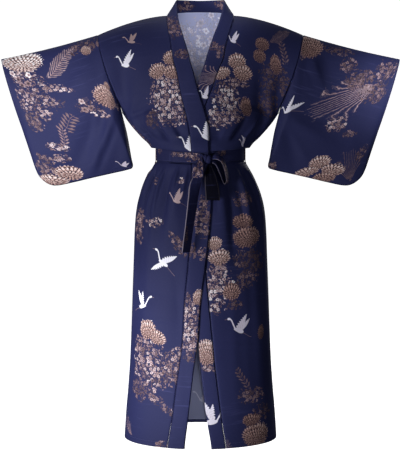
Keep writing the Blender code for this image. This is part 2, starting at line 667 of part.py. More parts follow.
def make_sleeve(name, side):
    """One sleeve: a bag from the armhole to the cuff, folded along its upper edge."""
    edges = {half: armhole(side, half) for half in (-1, 1)}
    top = edges[-1][0]
    bottom = edges[-1][-1]
    rows = []
    for number, ring in enumerate(SLEEVE):
        cuff = Vector((side * CUFF_TOP.x, 0.0, CUFF_TOP.z))
        start = top.lerp(cuff, ring.along)
        start.z -= SLEEVE_SAG * math.sin(math.pi * ring.along)
        stop = Vector((side * ring.x, 0.0, ring.z))
        blend = ease(1.0 - ring.along / ARMHOLE_FADE)
        row = []
        for half in (-1, 1):
            line = []
            for point in edges[half]:
                down = (top.z - point.z) / (top.z - bottom.z)
                straight = top.lerp(bottom, down)
                bow = Vector((point.x - straight.x, 0.0, 0.0)) * blend
                flat = start.lerp(stop, down) + bow
                swell = math.sin(math.pi * min(1.0, down) ** SLEEVE_FULL)
                depth = ring.depth * max(0.0, swell) ** 0.8
                flat.y = half * between(depth, abs(point.y), blend)
                flat.y -= sleeve_push(side, flat.x, flat.z) * (1.0 - blend)
                if number == 0:
                    flat.x += side * between(ARMHOLE_AIR, ARMPIT_AIR, ease((down - 0.7) / 0.3))
                line.append(flat)
            row.append(line)
        rows.append(row[0] + row[1][-2:0:-1])
    inside = (rows[5][4] + rows[5][-4]) / 2
    return cloth(name, rows, NAVY, closed=True, out_of=inside)


def collar_station(side, place):
    """The neckband's seam and free edge at a place from the chest (0) to the nape (2)."""
    corner = NECK_HALF / SHOULDER_HALF
    if place <= 1.0:
        seam = front_yoke(side, 0.0, 1.0 - place)
        normal = yoke_normal(front_yoke, side, 0.0, max(0.02, 1.0 - place))
    else:
        share = corner * (2.0 - place)
        seam = back_yoke(side, share, 0.0)
        normal = yoke_normal(back_yoke, side, min(share, corner * 0.98), 0.02)
    rise = ease(place / (1.0 - BAND_RISES))
    seam = seam + normal * (CLOTH + PLY) * rise
    over = side < 0
    chest_x = FRONT_EDGES[0].over_free if over else FRONT_EDGES[0].under_free
    points = [front_point(chest_x, 0.0, over=over)]
    points += [row.over if over else row.under for row in COLLAR[1:]]
    spot = place_at(COLLAR, "place", place)
    first = min(len(points) - 2, int(spot))
    share = spot - first
    before = points[first - 1] if first else points[0] * 2 - points[1]
    after = points[first + 2] if first + 2 < len(points) else mirror_x(points[first])
    leave = (points[first + 1] - before) * 0.5
    arrive = (after - points[first]) * 0.5
    free = hermite(points[first], leave, points[first + 1], arrive, share)
    return seam, free


def mirror_x(point):
    return Vector((-point.x, point.y, point.z))


def band_half(side):
    """Rows of one half of the neckband, from the hem to the nape."""
    over = side < 0
    rows = []
    for place in reversed(body_places()):
        edges = front_edge(smooth_row(BODY, place).z)
        seam, free = edges[1:3] if over else edges[3:5]
        row = []
        for share in spread(BAND_QUADS):
            row.append(front_point(between(seam, free, share), place, over=over))
        rows.append(row)
    chest_to_shoulder = [1.0 - t for t in reversed(YOKE_STEPS)]
    shoulder_to_nape = [1.0 + share for share in spread(NECK_QUADS)]
    for place in chest_to_shoulder + shoulder_to_nape[1:]:
        seam, free = collar_station(side, place)
        rows.append([seam.lerp(free, share) for share in spread(BAND_QUADS)])
    return rows


def make_neckband():
    """The neckband: up one front's edge, round the neck and down the other front's edge."""
    right = band_half(-1)
    left = band_half(1)
    rows = right + list(reversed(left))[1:]
    return cloth("neckband", rows, NAVY, BAND_CLOTH, out_of=Vector((0.0, 0.0, -0.02)))


def belt_out(x, front):
    """How far the belt's inner face lies off the body's."""
    if not front:
        return BELT_BACK_OUT
    near, far = BELT_STEP_LEFT if x > 0 else BELT_STEP_RIGHT
    return between(BELT_FRONT_OUT, BELT_BACK_OUT, ease((x - near) / (far - near)))


def make_belt():
    """The belt, once round the waist, narrowing into the knot."""
    section = smooth_row(BODY, BELT_SECTION)
    upper, middle, lower = [], [], []
    for number in range(BELT_SIDES):
        angle = 360.0 * number / BELT_SIDES - 180.0
        point = section_point(section, angle)
        front = abs(angle) < 90.0
        point += level_outward(section, angle) * belt_out(point.x, front)
        sag = BELT_SAG * math.cos(math.radians(angle)) ** 2 if front else 0.0
        pull = math.exp(-(((point.x - KNOT.x) / GATHER) ** 2)) if front else 0.0
        top = between(BELT_TOP - sag, KNOT.z + GATHER_HALF, pull)
        bottom = between(BELT_BOTTOM - sag, KNOT.z - GATHER_HALF, pull)
        for line, height in ((upper, top), (middle, (top + bottom) / 2), (lower, bottom)):
            line.append(Vector((point.x, point.y, height)))
    return cloth(
        "belt", [upper, middle, lower], NAVY, BELT_CLOTH, closed=True, out_of=Vector((0, 0, BELT_TOP))
    )


def make_carrier(name, side):
    """A narrow strip on the side seam that holds the belt up."""
    section = smooth_row(BODY, BELT_SECTION)
    spread_angle = math.degrees(CARRIER_WIDTH / 2 / section.half)
    over_belt = BELT_BACK_OUT + BELT_CLOTH + PLY
    rows = []
    for angle in (-spread_angle, 0.0, spread_angle):
        turn = side * (CARRIER_ANGLE + angle)
        base = section_point(section, turn)
        away = level_outward(section, turn)
        top, under, end = CARRIER_SPAN
        skirt_place = SKIRT_SECTION + place_at(BODY[SKIRT_SECTION:], "z", end)
        skirt = body_point(turn, skirt_place, CLOTH + CARRIER_CLEAR)
        row = [base + away * over_belt, base + away * over_belt, skirt]
        for point, height in zip(row, (top, under, end)):
            point.z = height
        rows.append(row)
    return cloth(name, rows, BRONZE, CLOTH, out_of=Vector((0.0, 0.0, BELT_TOP)))


def make_knot():
    """The knot: a soft lump of cloth in front of the belt."""
    shape = bmesh.new()
    bmesh.ops.create_uvsphere(shape, u_segments=KNOT_SIDES, v_segments=KNOT_RINGS, radius=1.0)
    for corner in shape.verts:
        corner.co = Vector(
            math.copysign(abs(corner.co[i]) ** KNOT_SQUARE, corner.co[i]) * KNOT_HALF[i] + KNOT[i]
            for i in range(3)
        )
    mesh = bpy.data.meshes.new("knot")
    shape.to_mesh(mesh)
    shape.free()
    return add_piece("knot", mesh, NAVY)


def make_ribbon(name, stations):
    """One loop or tail of the bow, from stations along its middle."""
    rows = []
    for number in range(2 * len(stations) - 1):
        station = smooth_row(stations, number / 2)
        middle = Vector((station.x, station.y, station.z))
        aside = Vector((station.across_x, station.across_y, station.across_z))
        rows.append([middle + aside * (share - 0.5) for share in spread(RIBBON_QUADS)])
    return cloth(name, rows, NAVY, out_of=Vector((0.0, 0.0, -0.55)))


def make_robe():
    make_back()
    make_front("front_right", -1, True)
    make_front("front_left", 1, False)
    make_sleeve("sleeve_right", -1)
    make_sleeve("sleeve_left", 1)
    make_neckband()
    make_belt()
    make_carrier("belt_carrier_right", -1)
    make_carrier("belt_carrier_left", 1)
    make_knot()
    for name, stations in RIBBONS.items():
        make_ribbon(name, stations)


clear_scene()
ROBE = bpy.data.collections.new("yukata_robe")
bpy.context.scene.collection.children.link(ROBE)
make_robe()
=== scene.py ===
"""A cotton yukata robe, printed with flowers and cranes, in its worn shape and tied with a bow.

Metres, +Z up, -Y to the front, +X to the wearer's left. Tables that measured() reads are written in
millimetres. Every piece of cloth is a thin shell on the form of its solid, with its folds, creases,
seams, turned hems and print.
"""

import math
from collections import namedtuple

import bmesh
import bpy
import numpy as np
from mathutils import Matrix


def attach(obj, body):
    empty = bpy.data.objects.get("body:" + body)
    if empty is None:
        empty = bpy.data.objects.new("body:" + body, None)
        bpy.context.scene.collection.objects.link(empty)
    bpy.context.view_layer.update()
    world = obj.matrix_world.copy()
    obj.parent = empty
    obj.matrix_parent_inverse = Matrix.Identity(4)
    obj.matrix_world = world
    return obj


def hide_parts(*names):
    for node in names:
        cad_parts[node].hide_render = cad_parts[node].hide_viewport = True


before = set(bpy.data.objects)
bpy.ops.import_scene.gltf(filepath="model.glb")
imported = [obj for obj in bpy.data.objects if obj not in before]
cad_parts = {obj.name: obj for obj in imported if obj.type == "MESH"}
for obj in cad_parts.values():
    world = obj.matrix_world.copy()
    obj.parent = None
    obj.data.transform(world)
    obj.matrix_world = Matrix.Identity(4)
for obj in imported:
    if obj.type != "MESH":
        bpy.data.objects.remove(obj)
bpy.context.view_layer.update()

# ==== the studio ================================================================================
# A pale floor with a round wall about it, a soft key light from the wearer's right, weaker lights
# from the front, above and behind, narrow ones for the nape, right sleeve, skirt, left cuff and
# hem, and a level camera in front that looks at the robe's middle.

# The view's columns and rows, its middle column, the camera's distance, and how many columns 1 m
# takes up at a distance of 1 m.
VIEW = namedtuple("View", "wide tall middle distance unit")(400, 454, 200.5, 3.0, 1000.0)
CAMERA_HEIGHT = -0.432
CAMERA_ROW = 160.0  # the row of the view at the camera's own height
FLOOR = -1.42


def in_scene(name, data):
    """A new object of the scene."""
    thing = bpy.data.objects.new(name, data)
    bpy.context.scene.collection.objects.link(thing)
    return thing


def mesh_piece(name, points, faces, edges=()):
    """A new object with its place in its mesh."""
    mesh = bpy.data.meshes.new(name)
    mesh.from_pydata([tuple(point) for point in points], edges, [tuple(face) for face in faces])
    return in_scene(name, mesh)


def grid_faces(rows, columns, wrap_rows, wrap_columns):
    """Quads of a grid, by its points and by its places in a flat grid that never wraps."""
    wide = columns + wrap_columns
    r, c = np.mgrid[: rows - 1 + wrap_rows, : columns - 1 + wrap_columns]
    corners = ((r, c), (r + 1, c), (r + 1, c + 1), (r, c + 1))
    points = [(a % rows) * columns + b % columns for a, b in corners]
    places = [a * wide + b for a, b in corners]
    return np.stack(points, -1).reshape(-1, 4), np.stack(places, -1).reshape(-1, 4)


def make_camera():
    """A level camera in front, moved in its frame until the robe's middle is in the middle."""
    data = bpy.data.cameras.new("camera")
    camera = in_scene("camera", data)
    camera.location = (0.0, -VIEW.distance, CAMERA_HEIGHT)
    camera.rotation_euler = (math.radians(90.0), 0.0, 0.0)
    data.sensor_width = 36.0
    data.lens = 36.0 * VIEW.unit / VIEW.tall
    data.shift_x = (VIEW.wide / 2 - VIEW.middle) / VIEW.tall
    data.shift_y = (CAMERA_ROW - VIEW.tall / 2) / VIEW.tall
    bpy.context.scene.camera = camera


def make_light(name, kind, place, aim, power, **looks):
    """A light at a place, turned to what it is aimed at."""
    data = bpy.data.lights.new(name, kind)
    data.energy = power
    for look, value in looks.items():
        setattr(data, look, value)
    light = in_scene(name, data)
    way = np.subtract(aim, place)
    light.location = place
    light.rotation_euler = (
        math.atan2(math.hypot(way[0], way[1]), -way[2]),
        0.0,
        math.atan2(way[1], way[0]) - math.pi / 2,
    )


def make_lamp(name, place, aim, size, power, colour):
    """A round soft lamp."""
    make_light(name, "AREA", place, aim, power, shape="DISK", size=size, color=colour)


def make_snoot(name, place, aim, wide, power):
    """A narrow light, some degrees wide, that is brightest in its middle."""
    looks = {"spot_size": math.radians(wide), "spot_blend": 1.0, "shadow_soft_size": 0.08}
    make_light(name, "SPOT", place, aim, power, **looks)


def maths(operation, swapped=False):
    """A method that adds one maths node, with a wire as its first value or as its last."""

    def method(wire, *others):
        values = (*others, wire) if swapped else (wire, *others)
        return wire.finish.node("ShaderNodeMath", {"operation": operation}, dict(enumerate(values)))

    return method


class Wire:
    """A socket of a material. An expression on it adds the maths nodes that it needs."""

    def __init__(self, finish, socket):
        self.finish = finish
        self.socket = socket

    __add__ = __radd__ = maths("ADD")
    __sub__ = maths("SUBTRACT")
    __rsub__ = maths("SUBTRACT", swapped=True)
    __mul__ = __rmul__ = maths("MULTIPLY")
    __truediv__ = maths("DIVIDE")
    __rtruediv__ = maths("DIVIDE", swapped=True)
    __pow__ = maths("POWER")
    __mod__ = maths("FLOORED_MODULO")
    __abs__ = maths("ABSOLUTE")
    cos = maths("COSINE")
    sin = maths("SINE")
    floor = maths("FLOOR")
    most = maths("MAXIMUM")
    least = maths("MINIMUM")
    turn_of = maths("ARCTAN2")  # the angle of the place (across, self) round the origin

    def __neg__(self):
        return self * -1.0

    def zigzag(self):
        """1 at each whole number, and 0 half way between them."""
        return abs(self % 1.0 - 0.5) * 2.0

    def rise(self, low, high):
        """0 below low, 1 above high, and soft between them."""
        return self.finish.node(
            "ShaderNodeMapRange",
            {"interpolation_type": "SMOOTHSTEP"},
            {"Value": self, "From Min": low, "From Max": high},
        )


class Finish:
    """A material, and the nodes that are added to it."""

    def __init__(self, name):
        self.material = bpy.data.materials.new(name)
        self.material.use_nodes = True
        self.tree = self.material.node_tree
        self.tree.nodes.clear()

    def node(self, kind, settings, values, output=0):
        """A node of a kind: its settings are made first, then its sockets' values and links."""
        node = self.tree.nodes.new(kind)
        for name, value in settings.items():
            if name == "stops":
                ramp = node.color_ramp
                while len(ramp.elements) < len(value):
                    ramp.elements.new(1.0)
                for stop, (place, colour) in zip(ramp.elements, value):
                    stop.position = place
                    stop.color = colour
            else:
                setattr(node, name, value)
        for name, value in values.items():
            if isinstance(value, Wire):
                self.tree.links.new(value.socket, node.inputs[name])
            else:
                node.inputs[name].default_value = value
        return Wire(self, node.outputs[output]) if node.outputs else None

    def also(self, wire, output):
        """Another output of the node that a wire comes from."""
        return Wire(self, wire.socket.node.outputs[output])

    def vector(self, operation, *values):
        return self.node("ShaderNodeVectorMath", {"operation": operation}, dict(enumerate(values)))

    def parts(self, vector):
        """The three numbers of a vector."""
        first = self.node("ShaderNodeSeparateXYZ", {}, {0: vector})
        return first, self.also(first, 1), self.also(first, 2)

    def mix(self, share, first, second):
        """The colour that lies a share of the way from the first to the second."""
        values = {"Factor": share, 6: first, 7: second}
        return self.node("ShaderNodeMix", {"data_type": "RGBA"}, values, 2)

    def noise(self, place, scale, detail=2.0, rough=0.5):
        values = {"Vector": place, "Scale": scale, "Detail": detail, "Roughness": rough}
        return self.node("ShaderNodeTexNoise", {}, values)

    def end(self, **sockets):
        """The shader itself, from the names of its sockets with _ for a space."""
        values = {name.replace("_", " "): value for name, value in sockets.items()}
        shader = self.node("ShaderNodeBsdfPrincipled", {}, values)
        self.node("ShaderNodeOutputMaterial", {}, {"Surface": shader})
        return self.material


def paint(red, green, blue):
    """A colour from its values on a screen, 0 to 255, as the light that it gives off."""
    shares = [value / 255.0 for value in (red, green, blue)]
    light = [s / 12.92 if s <= 0.04045 else ((s + 0.055) / 1.055) ** 2.4 for s in shares]
    return (*light, 1.0)


def make_cove():
    """The floor and a wall all round it, as one sheet with a round between them."""
    floor, high, round_off, steps, around = 6.0, 9.0, 2.0, 12, 64
    line = [(0.0, FLOOR)]
    for step in range(steps + 1):
        turn = math.radians(90.0 * step / steps)
        line.append((floor + round_off * math.sin(turn), FLOOR + round_off * (1 - math.cos(turn))))
    line.append((floor + round_off, high))
    reach, height = np.array(line).T[..., None]
    turn = 2.0 * math.pi * np.arange(around) / around
    grid = np.stack(np.broadcast_arrays(reach * np.cos(turn), reach * np.sin(turn), height), -1)
    quads, _ = grid_faces(len(line) - 1, around, False, True)
    hub = [(0, n + 1, (n + 1) % around + 1) for n in range(around)]
    points = np.concatenate((grid[:1, 0], grid[1:].reshape(-1, 3)))
    cove = mesh_piece("cove", points, [*hub, *(quads[:, ::-1] + 1)])
    cove.data.shade_smooth()
    finish = Finish("pale_floor")
    place = finish.node("ShaderNodeTexCoord", {}, {}, 3)
    cloudy = finish.noise(place, 1.5)
    colour = finish.mix(cloudy, paint(244, 244, 245), paint(250, 250, 250))
    white = paint(255, 255, 255)
    finish.end(Base_Color=colour, Roughness=0.9, Emission_Color=white, Emission_Strength=1.0)
    cove.data.materials.append(finish.material)
    cove.visible_diffuse = False  # it is bright to the camera alone, and leaves the robe its shade
    cove.visible_glossy = False


make_camera()
make_lamp("key", (-1.75, -1.8, -1.0), (-0.1, 0.0, -0.7), 0.9, 44.0, (1.0, 0.985, 0.97))
make_lamp("fill", (1.6, -3.6, -0.6), (0.0, 0.0, -0.6), 2.0, 13.0, (0.94, 0.96, 1.0))
make_lamp("top", (-0.3, 0.9, 2.4), (0.0, 0.0, -0.4), 1.4, 26.0, (1.0, 1.0, 1.0))
make_lamp("behind", (1.8, 3.2, 0.8), (0.0, 0.0, -0.6), 2.0, 48.0, (1.0, 0.99, 0.98))
make_snoot("neck_light", (0.1, -3.0, 0.3), (0.02, 0.08, 0.0), 6.0, 260.0)
make_snoot("sleeve_light", (-1.1, -3.2, -0.6), (-0.46, 0.0, -0.30), 11.0, 330.0)
make_snoot("skirt_light", (-1.9, -2.6, -1.3), (-0.22, 0.0, -1.00), 15.0, 330.0)
make_snoot("cuff_light", (1.8, -2.6, 0.2), (0.56, 0.0, -0.22), 7.0, 420.0)
make_snoot("hem_light", (0.1, -3.0, -1.0), (-0.01, 0.14, -1.18), 6.0, 70.0)
world = bpy.data.worlds.new("studio_air")
world.use_nodes = True
AIR = world.node_tree.nodes["Background"].inputs
AIR["Color"].default_value = (0.9, 0.93, 1.0, 1.0)
AIR["Strength"].default_value = 0.065
bpy.context.scene.world = world
bpy.context.scene.view_settings.view_transform = "Standard"
make_cove()

# ==== the printed cotton ========================================================================
# Plain-woven navy cotton, 0.4 mm thick, dyed with mist, chrysanthemums, blossom, grasses and
# cranes. The dye is strong on the right side, and shows through pale on the wrong side.
SHEET = 0.0007  # the shell's own thickness, which is a little more than the cloth's
SEAM_TURN = 0.0011  # how far a sewn edge is drawn in
SEAM_RUN = 0.0035  # over this length
HEM_DEPTH = 0.013
THREAD_OUT = 0.0001  # how far the middle of a thread lies off the cloth
STEP = 0.0050  # the cloth's points lie this far apart
LAYERS = ("clusters", "sprigs", "mums", "birds")
FAR_OFF = (9.0, 9.0, 0.0)  # where a layer holds no motif
MOTIF_REACH = 1.25  # the cloth that a motif is kept on reaches this far, in halves of its size
FACING = 0.10  # no motif's middle lies where the cloth is turned further away than this
NEAR_FIRST = 12.0  # how strongly the nearer of two layers is chosen for a motif
TONE_SHARE = 0.9  # a pose is a whole number, and this share of the tone is added to it

# A motif of the print: its place, width and height in the view from the front, or in the same view
# from behind, how far it is turned, its tone from 0, dark, to 1, white, and its pose, where the
# layer has more than one.
Motif = namedtuple("Motif", "layer x y wide tall turn tone pose", defaults=(0,))


def print_of(**layers):
    """The motifs of one piece of cloth, from its layers' rows."""
    return [Motif(layer, *row) for layer, rows in layers.items() for row in rows]


def in_view(points, behind=False):
    """Where points show in the view from the front, or in the view from behind."""
    way = -1.0 if behind else 1.0
    depth = VIEW.distance + way * points[..., 1]
    x = VIEW.middle + way * points[..., 0] * VIEW.unit / depth
    return x, CAMERA_ROW + (CAMERA_HEIGHT - points[..., 2]) * VIEW.unit / depth


def unit(vectors):
    """Vectors made 1 long."""
    return vectors / np.maximum(np.linalg.norm(vectors, axis=-1, keepdims=True), 1e-12)


def surface_normals(points, closed=False):
    """The directions out of a grid of points, whose columns may close into a ring."""
    if closed:
        across = np.roll(points, -1, 1) - np.roll(points, 1, 1)
    else:
        across = np.gradient(points, axis=1)
    return unit(np.cross(np.gradient(points, axis=0), across))


def lengths(points, axis):
    """How far each point lies along its own row or column, from the first."""
    steps = np.linalg.norm(np.diff(points, axis=axis), axis=-1)
    return np.concatenate((np.zeros_like(np.take(steps, [0], axis)), np.cumsum(steps, axis)), axis)


def cloth_piece(name, points, faces, corners, wrong, seen, normals, flat, motifs, behind):
    """A mesh with the cloth's own map, its print, and its wrong side marked.

    seen is the grid that motifs are placed on, with its normals and its place in the cut cloth."""
    piece = mesh_piece(name + "_cloth", points, faces)
    mesh = piece.data
    mesh.shade_smooth()
    kept = stamp(corners, seen, normals, flat, motifs, behind)
    for layer, values in kept.items():
        attribute = mesh.attributes.new(layer, "FLOAT_VECTOR", "CORNER")
        attribute.data.foreach_set("vector", values.astype(np.float32).ravel())
    marks = mesh.attributes.new("wrong_side", "FLOAT", "FACE")
    marks.data.foreach_set("value", np.asarray(wrong, np.float32))
    cloth_map = mesh.uv_layers.new(name="cloth")
    cloth_map.data.foreach_set("uv", corners.astype(np.float32).ravel())
    return piece


def view_frame(seen, flat, spot, behind):
    """How the flat cloth lies in the view at a place: 1 m of cloth, turned as it is seen."""
    x, y = in_view(seen, behind)
    r = min(max(spot[0], 1), flat.shape[0] - 2)
    c = min(max(spot[1], 1), flat.shape[1] - 2)
    steps, moves = [], []
    for a, b in (((r, c - 1), (r, c + 1)), ((r - 1, c), (r + 1, c))):
        steps.append(flat[b] - flat[a])
        moves.append((x[b] - x[a], y[a] - y[b]))
    across = np.array(moves).T @ np.linalg.inv(np.array(steps).T + 1e-9 * np.eye(2))
    left, _, right = np.linalg.svd(across)
    return left @ right


def stamp(corners, seen, normals, flat, motifs, behind_motifs):
    """What each layer holds at the corners of each face: a motif's own x, y, and tone and pose."""
    kept = {layer: np.tile(np.array(FAR_OFF), (*corners.shape[:2], 1)) for layer in LAYERS}
    nearest = {layer: np.full(len(corners), MOTIF_REACH) for layer in LAYERS}
    centres = corners.mean(1)
    for behind, table in ((False, motifs), (True, behind_motifs)):
        if not table:
            continue
        x, y = in_view(seen, behind)
        way_out = 1.0 if behind else -1.0
        hidden = normals[..., 1] * way_out < FACING
        nearer = seen[..., 1] * way_out * -NEAR_FIRST
        for motif in table:
            away = np.hypot(x - motif.x, y - motif.y) + hidden * 1e3 + nearer
            spot = np.unravel_index(np.argmin(away), away.shape)
            frame_there = view_frame(seen, flat, spot, behind)
            turn = math.radians(motif.turn)
            spin = np.array(((math.cos(turn), math.sin(turn)), (-math.sin(turn), math.cos(turn))))
            size = np.array((motif.wide, motif.tall)) * 0.5 * VIEW.distance / VIEW.unit
            way = (spin @ frame_there / size[:, None]).T
            reach = np.linalg.norm((centres - flat[spot]) @ way, axis=-1)
            own = reach < nearest[motif.layer]
            nearest[motif.layer][own] = reach[own]
            kept[motif.layer][own, :, :2] = (corners[own] - flat[spot]) @ way
            kept[motif.layer][own, :, 2] = motif.pose + motif.tone * TONE_SHARE
    return kept


def shell(name, points, flat, inside, motifs, behind=(), closed=False):
    """A piece of cloth from a grid of the points of its outer side, folded up inside at its hem.

    flat is each point's place in the cut cloth, with one more column where the columns close."""
    rows, columns = points.shape[:2]
    normals = facing_out(points, inside, closed)
    hem = above_hem(points) < HEM_DEPTH
    inner = points - normals * (SHEET * (1.0 + hem))[..., None]
    outer_faces, spots = grid_faces(rows, columns, False, closed)
    grid = points.reshape(-1, 3)
    first = outer_faces[len(outer_faces) // 2]
    way = np.cross(grid[first[1]] - grid[first[0]], grid[first[3]] - grid[first[0]])
    if np.dot(way, normals.reshape(-1, 3)[first[0]]) < 0:
        outer_faces, spots = outer_faces[:, ::-1], spots[:, ::-1]
    number = rows * columns
    # the rim joins both sides along every edge that has one face only
    sides = np.concatenate([outer_faces[:, (k, (k + 1) % 4)] for k in range(4)])
    side_spots = np.concatenate([spots[:, (k, (k + 1) % 4)] for k in range(4)])
    _, found, counts = np.unique(
        np.sort(sides, 1) @ (number, 1), return_index=True, return_counts=True
    )
    a, b = sides[found[counts == 1]].T
    sa, sb = side_spots[found[counts == 1]].T
    rim, rim_spots = np.stack((b, a, a + number, b + number), -1), np.stack((sb, sa, sa, sb), -1)
    turned = (0, 3, 2, 1)  # both sides of a bent face are then split along the same diagonal
    faces = np.concatenate((outer_faces, outer_faces[:, turned] + number, rim))
    places = np.concatenate((spots, spots[:, turned], rim_spots))
    wrong_side = 1.0 - hem.reshape(-1)[outer_faces].min(1)
    wrong = np.concatenate((np.zeros(len(spots)), wrong_side, np.zeros(len(rim))))
    seen = np.concatenate((points, points[:, :1]), 1) if closed else points
    if closed:
        normals = np.concatenate((normals, normals[:, :1]), 1)
    corners = flat.reshape(-1, 2)[places]
    every = np.concatenate((grid, inner.reshape(-1, 3)))
    return cloth_piece(name, every, faces, corners, wrong, seen, normals, flat, motifs, behind)


def facing_out(points, inside, closed=False):
    """A grid's normals, on the side that turns away from a place inside."""
    normals = surface_normals(points, closed)
    middle = (points.shape[0] // 2, points.shape[1] // 2)
    away = np.dot(normals[middle], points[middle] - np.array(inside))
    return normals * (1.0 if away > 0 else -1.0)


def above_hem(points):
    """How far each point lies from the hem, its column's last point."""
    down = lengths(points, 0)
    return down[-1:] - down


def hem_line(points, inside, closed=False):
    """The line of stitches along a hem, on the outer side."""
    row = int(np.argmin(np.abs(above_hem(points).mean(1) - HEM_DEPTH)))
    line = points[row] + facing_out(points, inside, closed)[row] * THREAD_OUT
    return np.concatenate((line, line[:1])) if closed else line


def drawn_in(points, inside, edges, closed=False):
    """A grid with its sewn edges turned in: first_row, first_column or last_column."""
    down, across = lengths(points, 0), lengths(points, 1)
    away = {
        "first_row": down,
        "first_column": across,
        "last_column": across[:, -1:] - across,
    }
    turn = np.max([1.0 - ease(away[edge] / SEAM_RUN) for edge in edges], 0)
    return points - facing_out(points, inside, closed) * (turn * SEAM_TURN)[..., None]


def ease(share):
    """A share from 0 to 1 that starts and ends softly."""
    share = np.clip(share, 0.0, 1.0)
    return share * share * (3.0 - 2.0 * share)


def dyes(*rows):
    """A motif's colours from its darkest tone to white: the tone of each, red, green and blue."""
    return [(tone, paint(*colour)) for tone, *colour in rows]


DYES = dyes(
    (0.00, 32, 26, 44), (0.30, 94, 74, 82), (0.50, 146, 120, 124),
    (0.70, 190, 166, 170), (0.86, 224, 210, 214), (1.00, 246, 244, 248),
)
WARM_DYES = dyes(
    (0.00, 34, 26, 44), (0.30, 96, 72, 76), (0.50, 152, 118, 112),
    (0.70, 194, 162, 156), (0.86, 228, 210, 208), (1.00, 246, 244, 248),
)
CRANE_DYES = dyes(
    (0.00, 40, 36, 60), (0.50, 148, 120, 120), (0.72, 200, 178, 184),
    (0.86, 214, 208, 228), (1.00, 240, 240, 254),
)
# A crane's near wing and far wing in each of its five poses, in shares of a full turn.
WINGS = (
    (0.00, (0.36, 0.27, 0.0, 1.0)),
    (0.25, (0.36, 0.40, 0.0, 1.0)),
    (0.50, (0.36, 0.49, 0.0, 1.0)),
    (0.75, (0.29, 0.28, 0.0, 1.0)),
    (1.00, (0.40, 0.90, 0.0, 1.0)),
)


def layer_of(finish, layer):
    """A layer's own x and y, how far that is from the motif's middle, its tone and its pose."""
    held = finish.node("ShaderNodeAttribute", {"attribute_name": layer}, {}, 1)
    x, y, packed = finish.parts(held)
    pose = packed.floor()
    return x, y, (x * x + y * y) ** 0.5, (packed - pose) / TONE_SHARE, pose


def printed(finish, below, mask, tone, dyes=DYES):
    """A colour with a motif over it, in the dye of its tone."""
    dye = finish.node("ShaderNodeValToRGB", {"stops": dyes}, {0: tone})
    return finish.mix(mask, below, dye)


def chrysanthemum(finish, below, place):
    """Rings of petals round a heart below the middle, dark between them; more in the second pose."""
    x, y, reach, tone, pose = layer_of(finish, "mums")
    uneven = finish.noise(place, 190.0, 2.0)
    height = y
    y = y + 0.08 + (1.0 - reach * reach).most(0.0) * 0.36
    radius = (x * x + y * y) ** 0.5 + (uneven - 0.5) * 0.26
    turn = y.turn_of(x) + (uneven - 0.5) * 0.30
    ring = radius * (2.9 + 1.7 * pose)
    number = ring.floor()
    along = ring - number
    aside = (turn * (number * 5.0 + 9.0) / (2.0 * math.pi) + number * 0.37).zigzag()
    tip = (1.0 - aside * aside).most(0.0) ** 0.5
    mask = (0.86 + 0.20 * tip + (uneven - 0.5) * 0.60 - reach).rise(0.0, 0.06)
    body = (tip - along * 0.92).rise(-0.04, 0.26) * (0.76 - aside).rise(-0.06, 0.16)
    light = 0.10 + body * (0.74 + 0.62 * along) + (uneven - 0.5) * 0.7
    return printed(finish, below, mask, tone * (light + height * 0.22), WARM_DYES)


def blossoms(finish, below, place):
    """A crowd of small five-petalled blossoms over leaves; in the second pose they are larger."""
    _, _, reach, tone, pose = layer_of(finish, "clusters")
    values = {"Vector": place, "Scale": 260.0, "Detail": 1.0}
    wavy = finish.node("ShaderNodeTexNoise", {}, values, 1)
    moved = finish.vector("SUBTRACT", wavy, (0.5, 0.5, 0.5))
    bent = finish.vector("ADD", place, finish.vector("MULTIPLY", moved, (0.005, 0.005, 0.0)))
    ragged = finish.noise(place, 60.0, 2.0)
    crowd = 1.0 - reach + (ragged - 0.5) * 1.1

    def cells(size, crowded):
        values = {0: bent, "Scale": 1.0 / size}
        scaled = finish.node("ShaderNodeVectorMath", {"operation": "SCALE"}, values)
        settings = {"voronoi_dimensions": "2D", "feature": "F1"}
        values = {"Vector": scaled, "Scale": 1.0, "Randomness": crowded}
        near = finish.node("ShaderNodeTexVoronoi", settings, values)
        over, up, _ = finish.parts(finish.vector("SUBTRACT", scaled, finish.also(near, 2)))
        first, second, third = finish.parts(finish.also(near, 1))
        return near, over, up, first, second, (crowd + (third - 0.5) * 0.7).rise(0.0, 0.06)

    def leaves(below, size, length, width, share, dark, light):
        _, over, up, first, second, kept = cells(size, 0.85)
        way = first * 6.3
        long = (over * way.cos() + up * way.sin()) / length
        wide = (up * way.cos() - over * way.sin()) / width
        leaf = (1.0 - long * long - wide * wide).rise(0.0, 0.30) * (share - second).rise(0.0, 0.04)
        rib = 1.0 - (0.35 - abs(wide)).rise(0.0, 0.3) * 0.45
        return printed(finish, below, kept * leaf, tone * (dark + light * first) * rib)

    below = leaves(below, 0.0062, 0.55, 0.24, 0.95, 0.18, 0.40)
    below = leaves(below, 0.0098, 0.50, 0.20, 0.70, 0.40, 0.55)
    far, over, up, first, second, kept = cells(0.0110 + 0.0120 * pose, 0.80)
    turn = up.turn_of(over) + first * 6.3
    aside = (turn * (5.0 / (2.0 * math.pi))).zigzag()
    edge = 0.30 + 0.17 * (1.0 - aside * aside)
    flower = (edge - far).rise(0.0, 0.05) * (0.74 - second).rise(0.0, 0.04)
    gap = (aside - 0.80).rise(0.0, 0.18) * (far - 0.05).rise(0.0, 0.08)
    heart = (0.11 - far).rise(0.0, 0.05)
    light = 0.42 + (far / edge) * 0.56 + (first - 0.5) * 0.60 - gap * 0.50 - heart * 0.40
    return printed(finish, below, kept * flower, tone * light * 1.04)


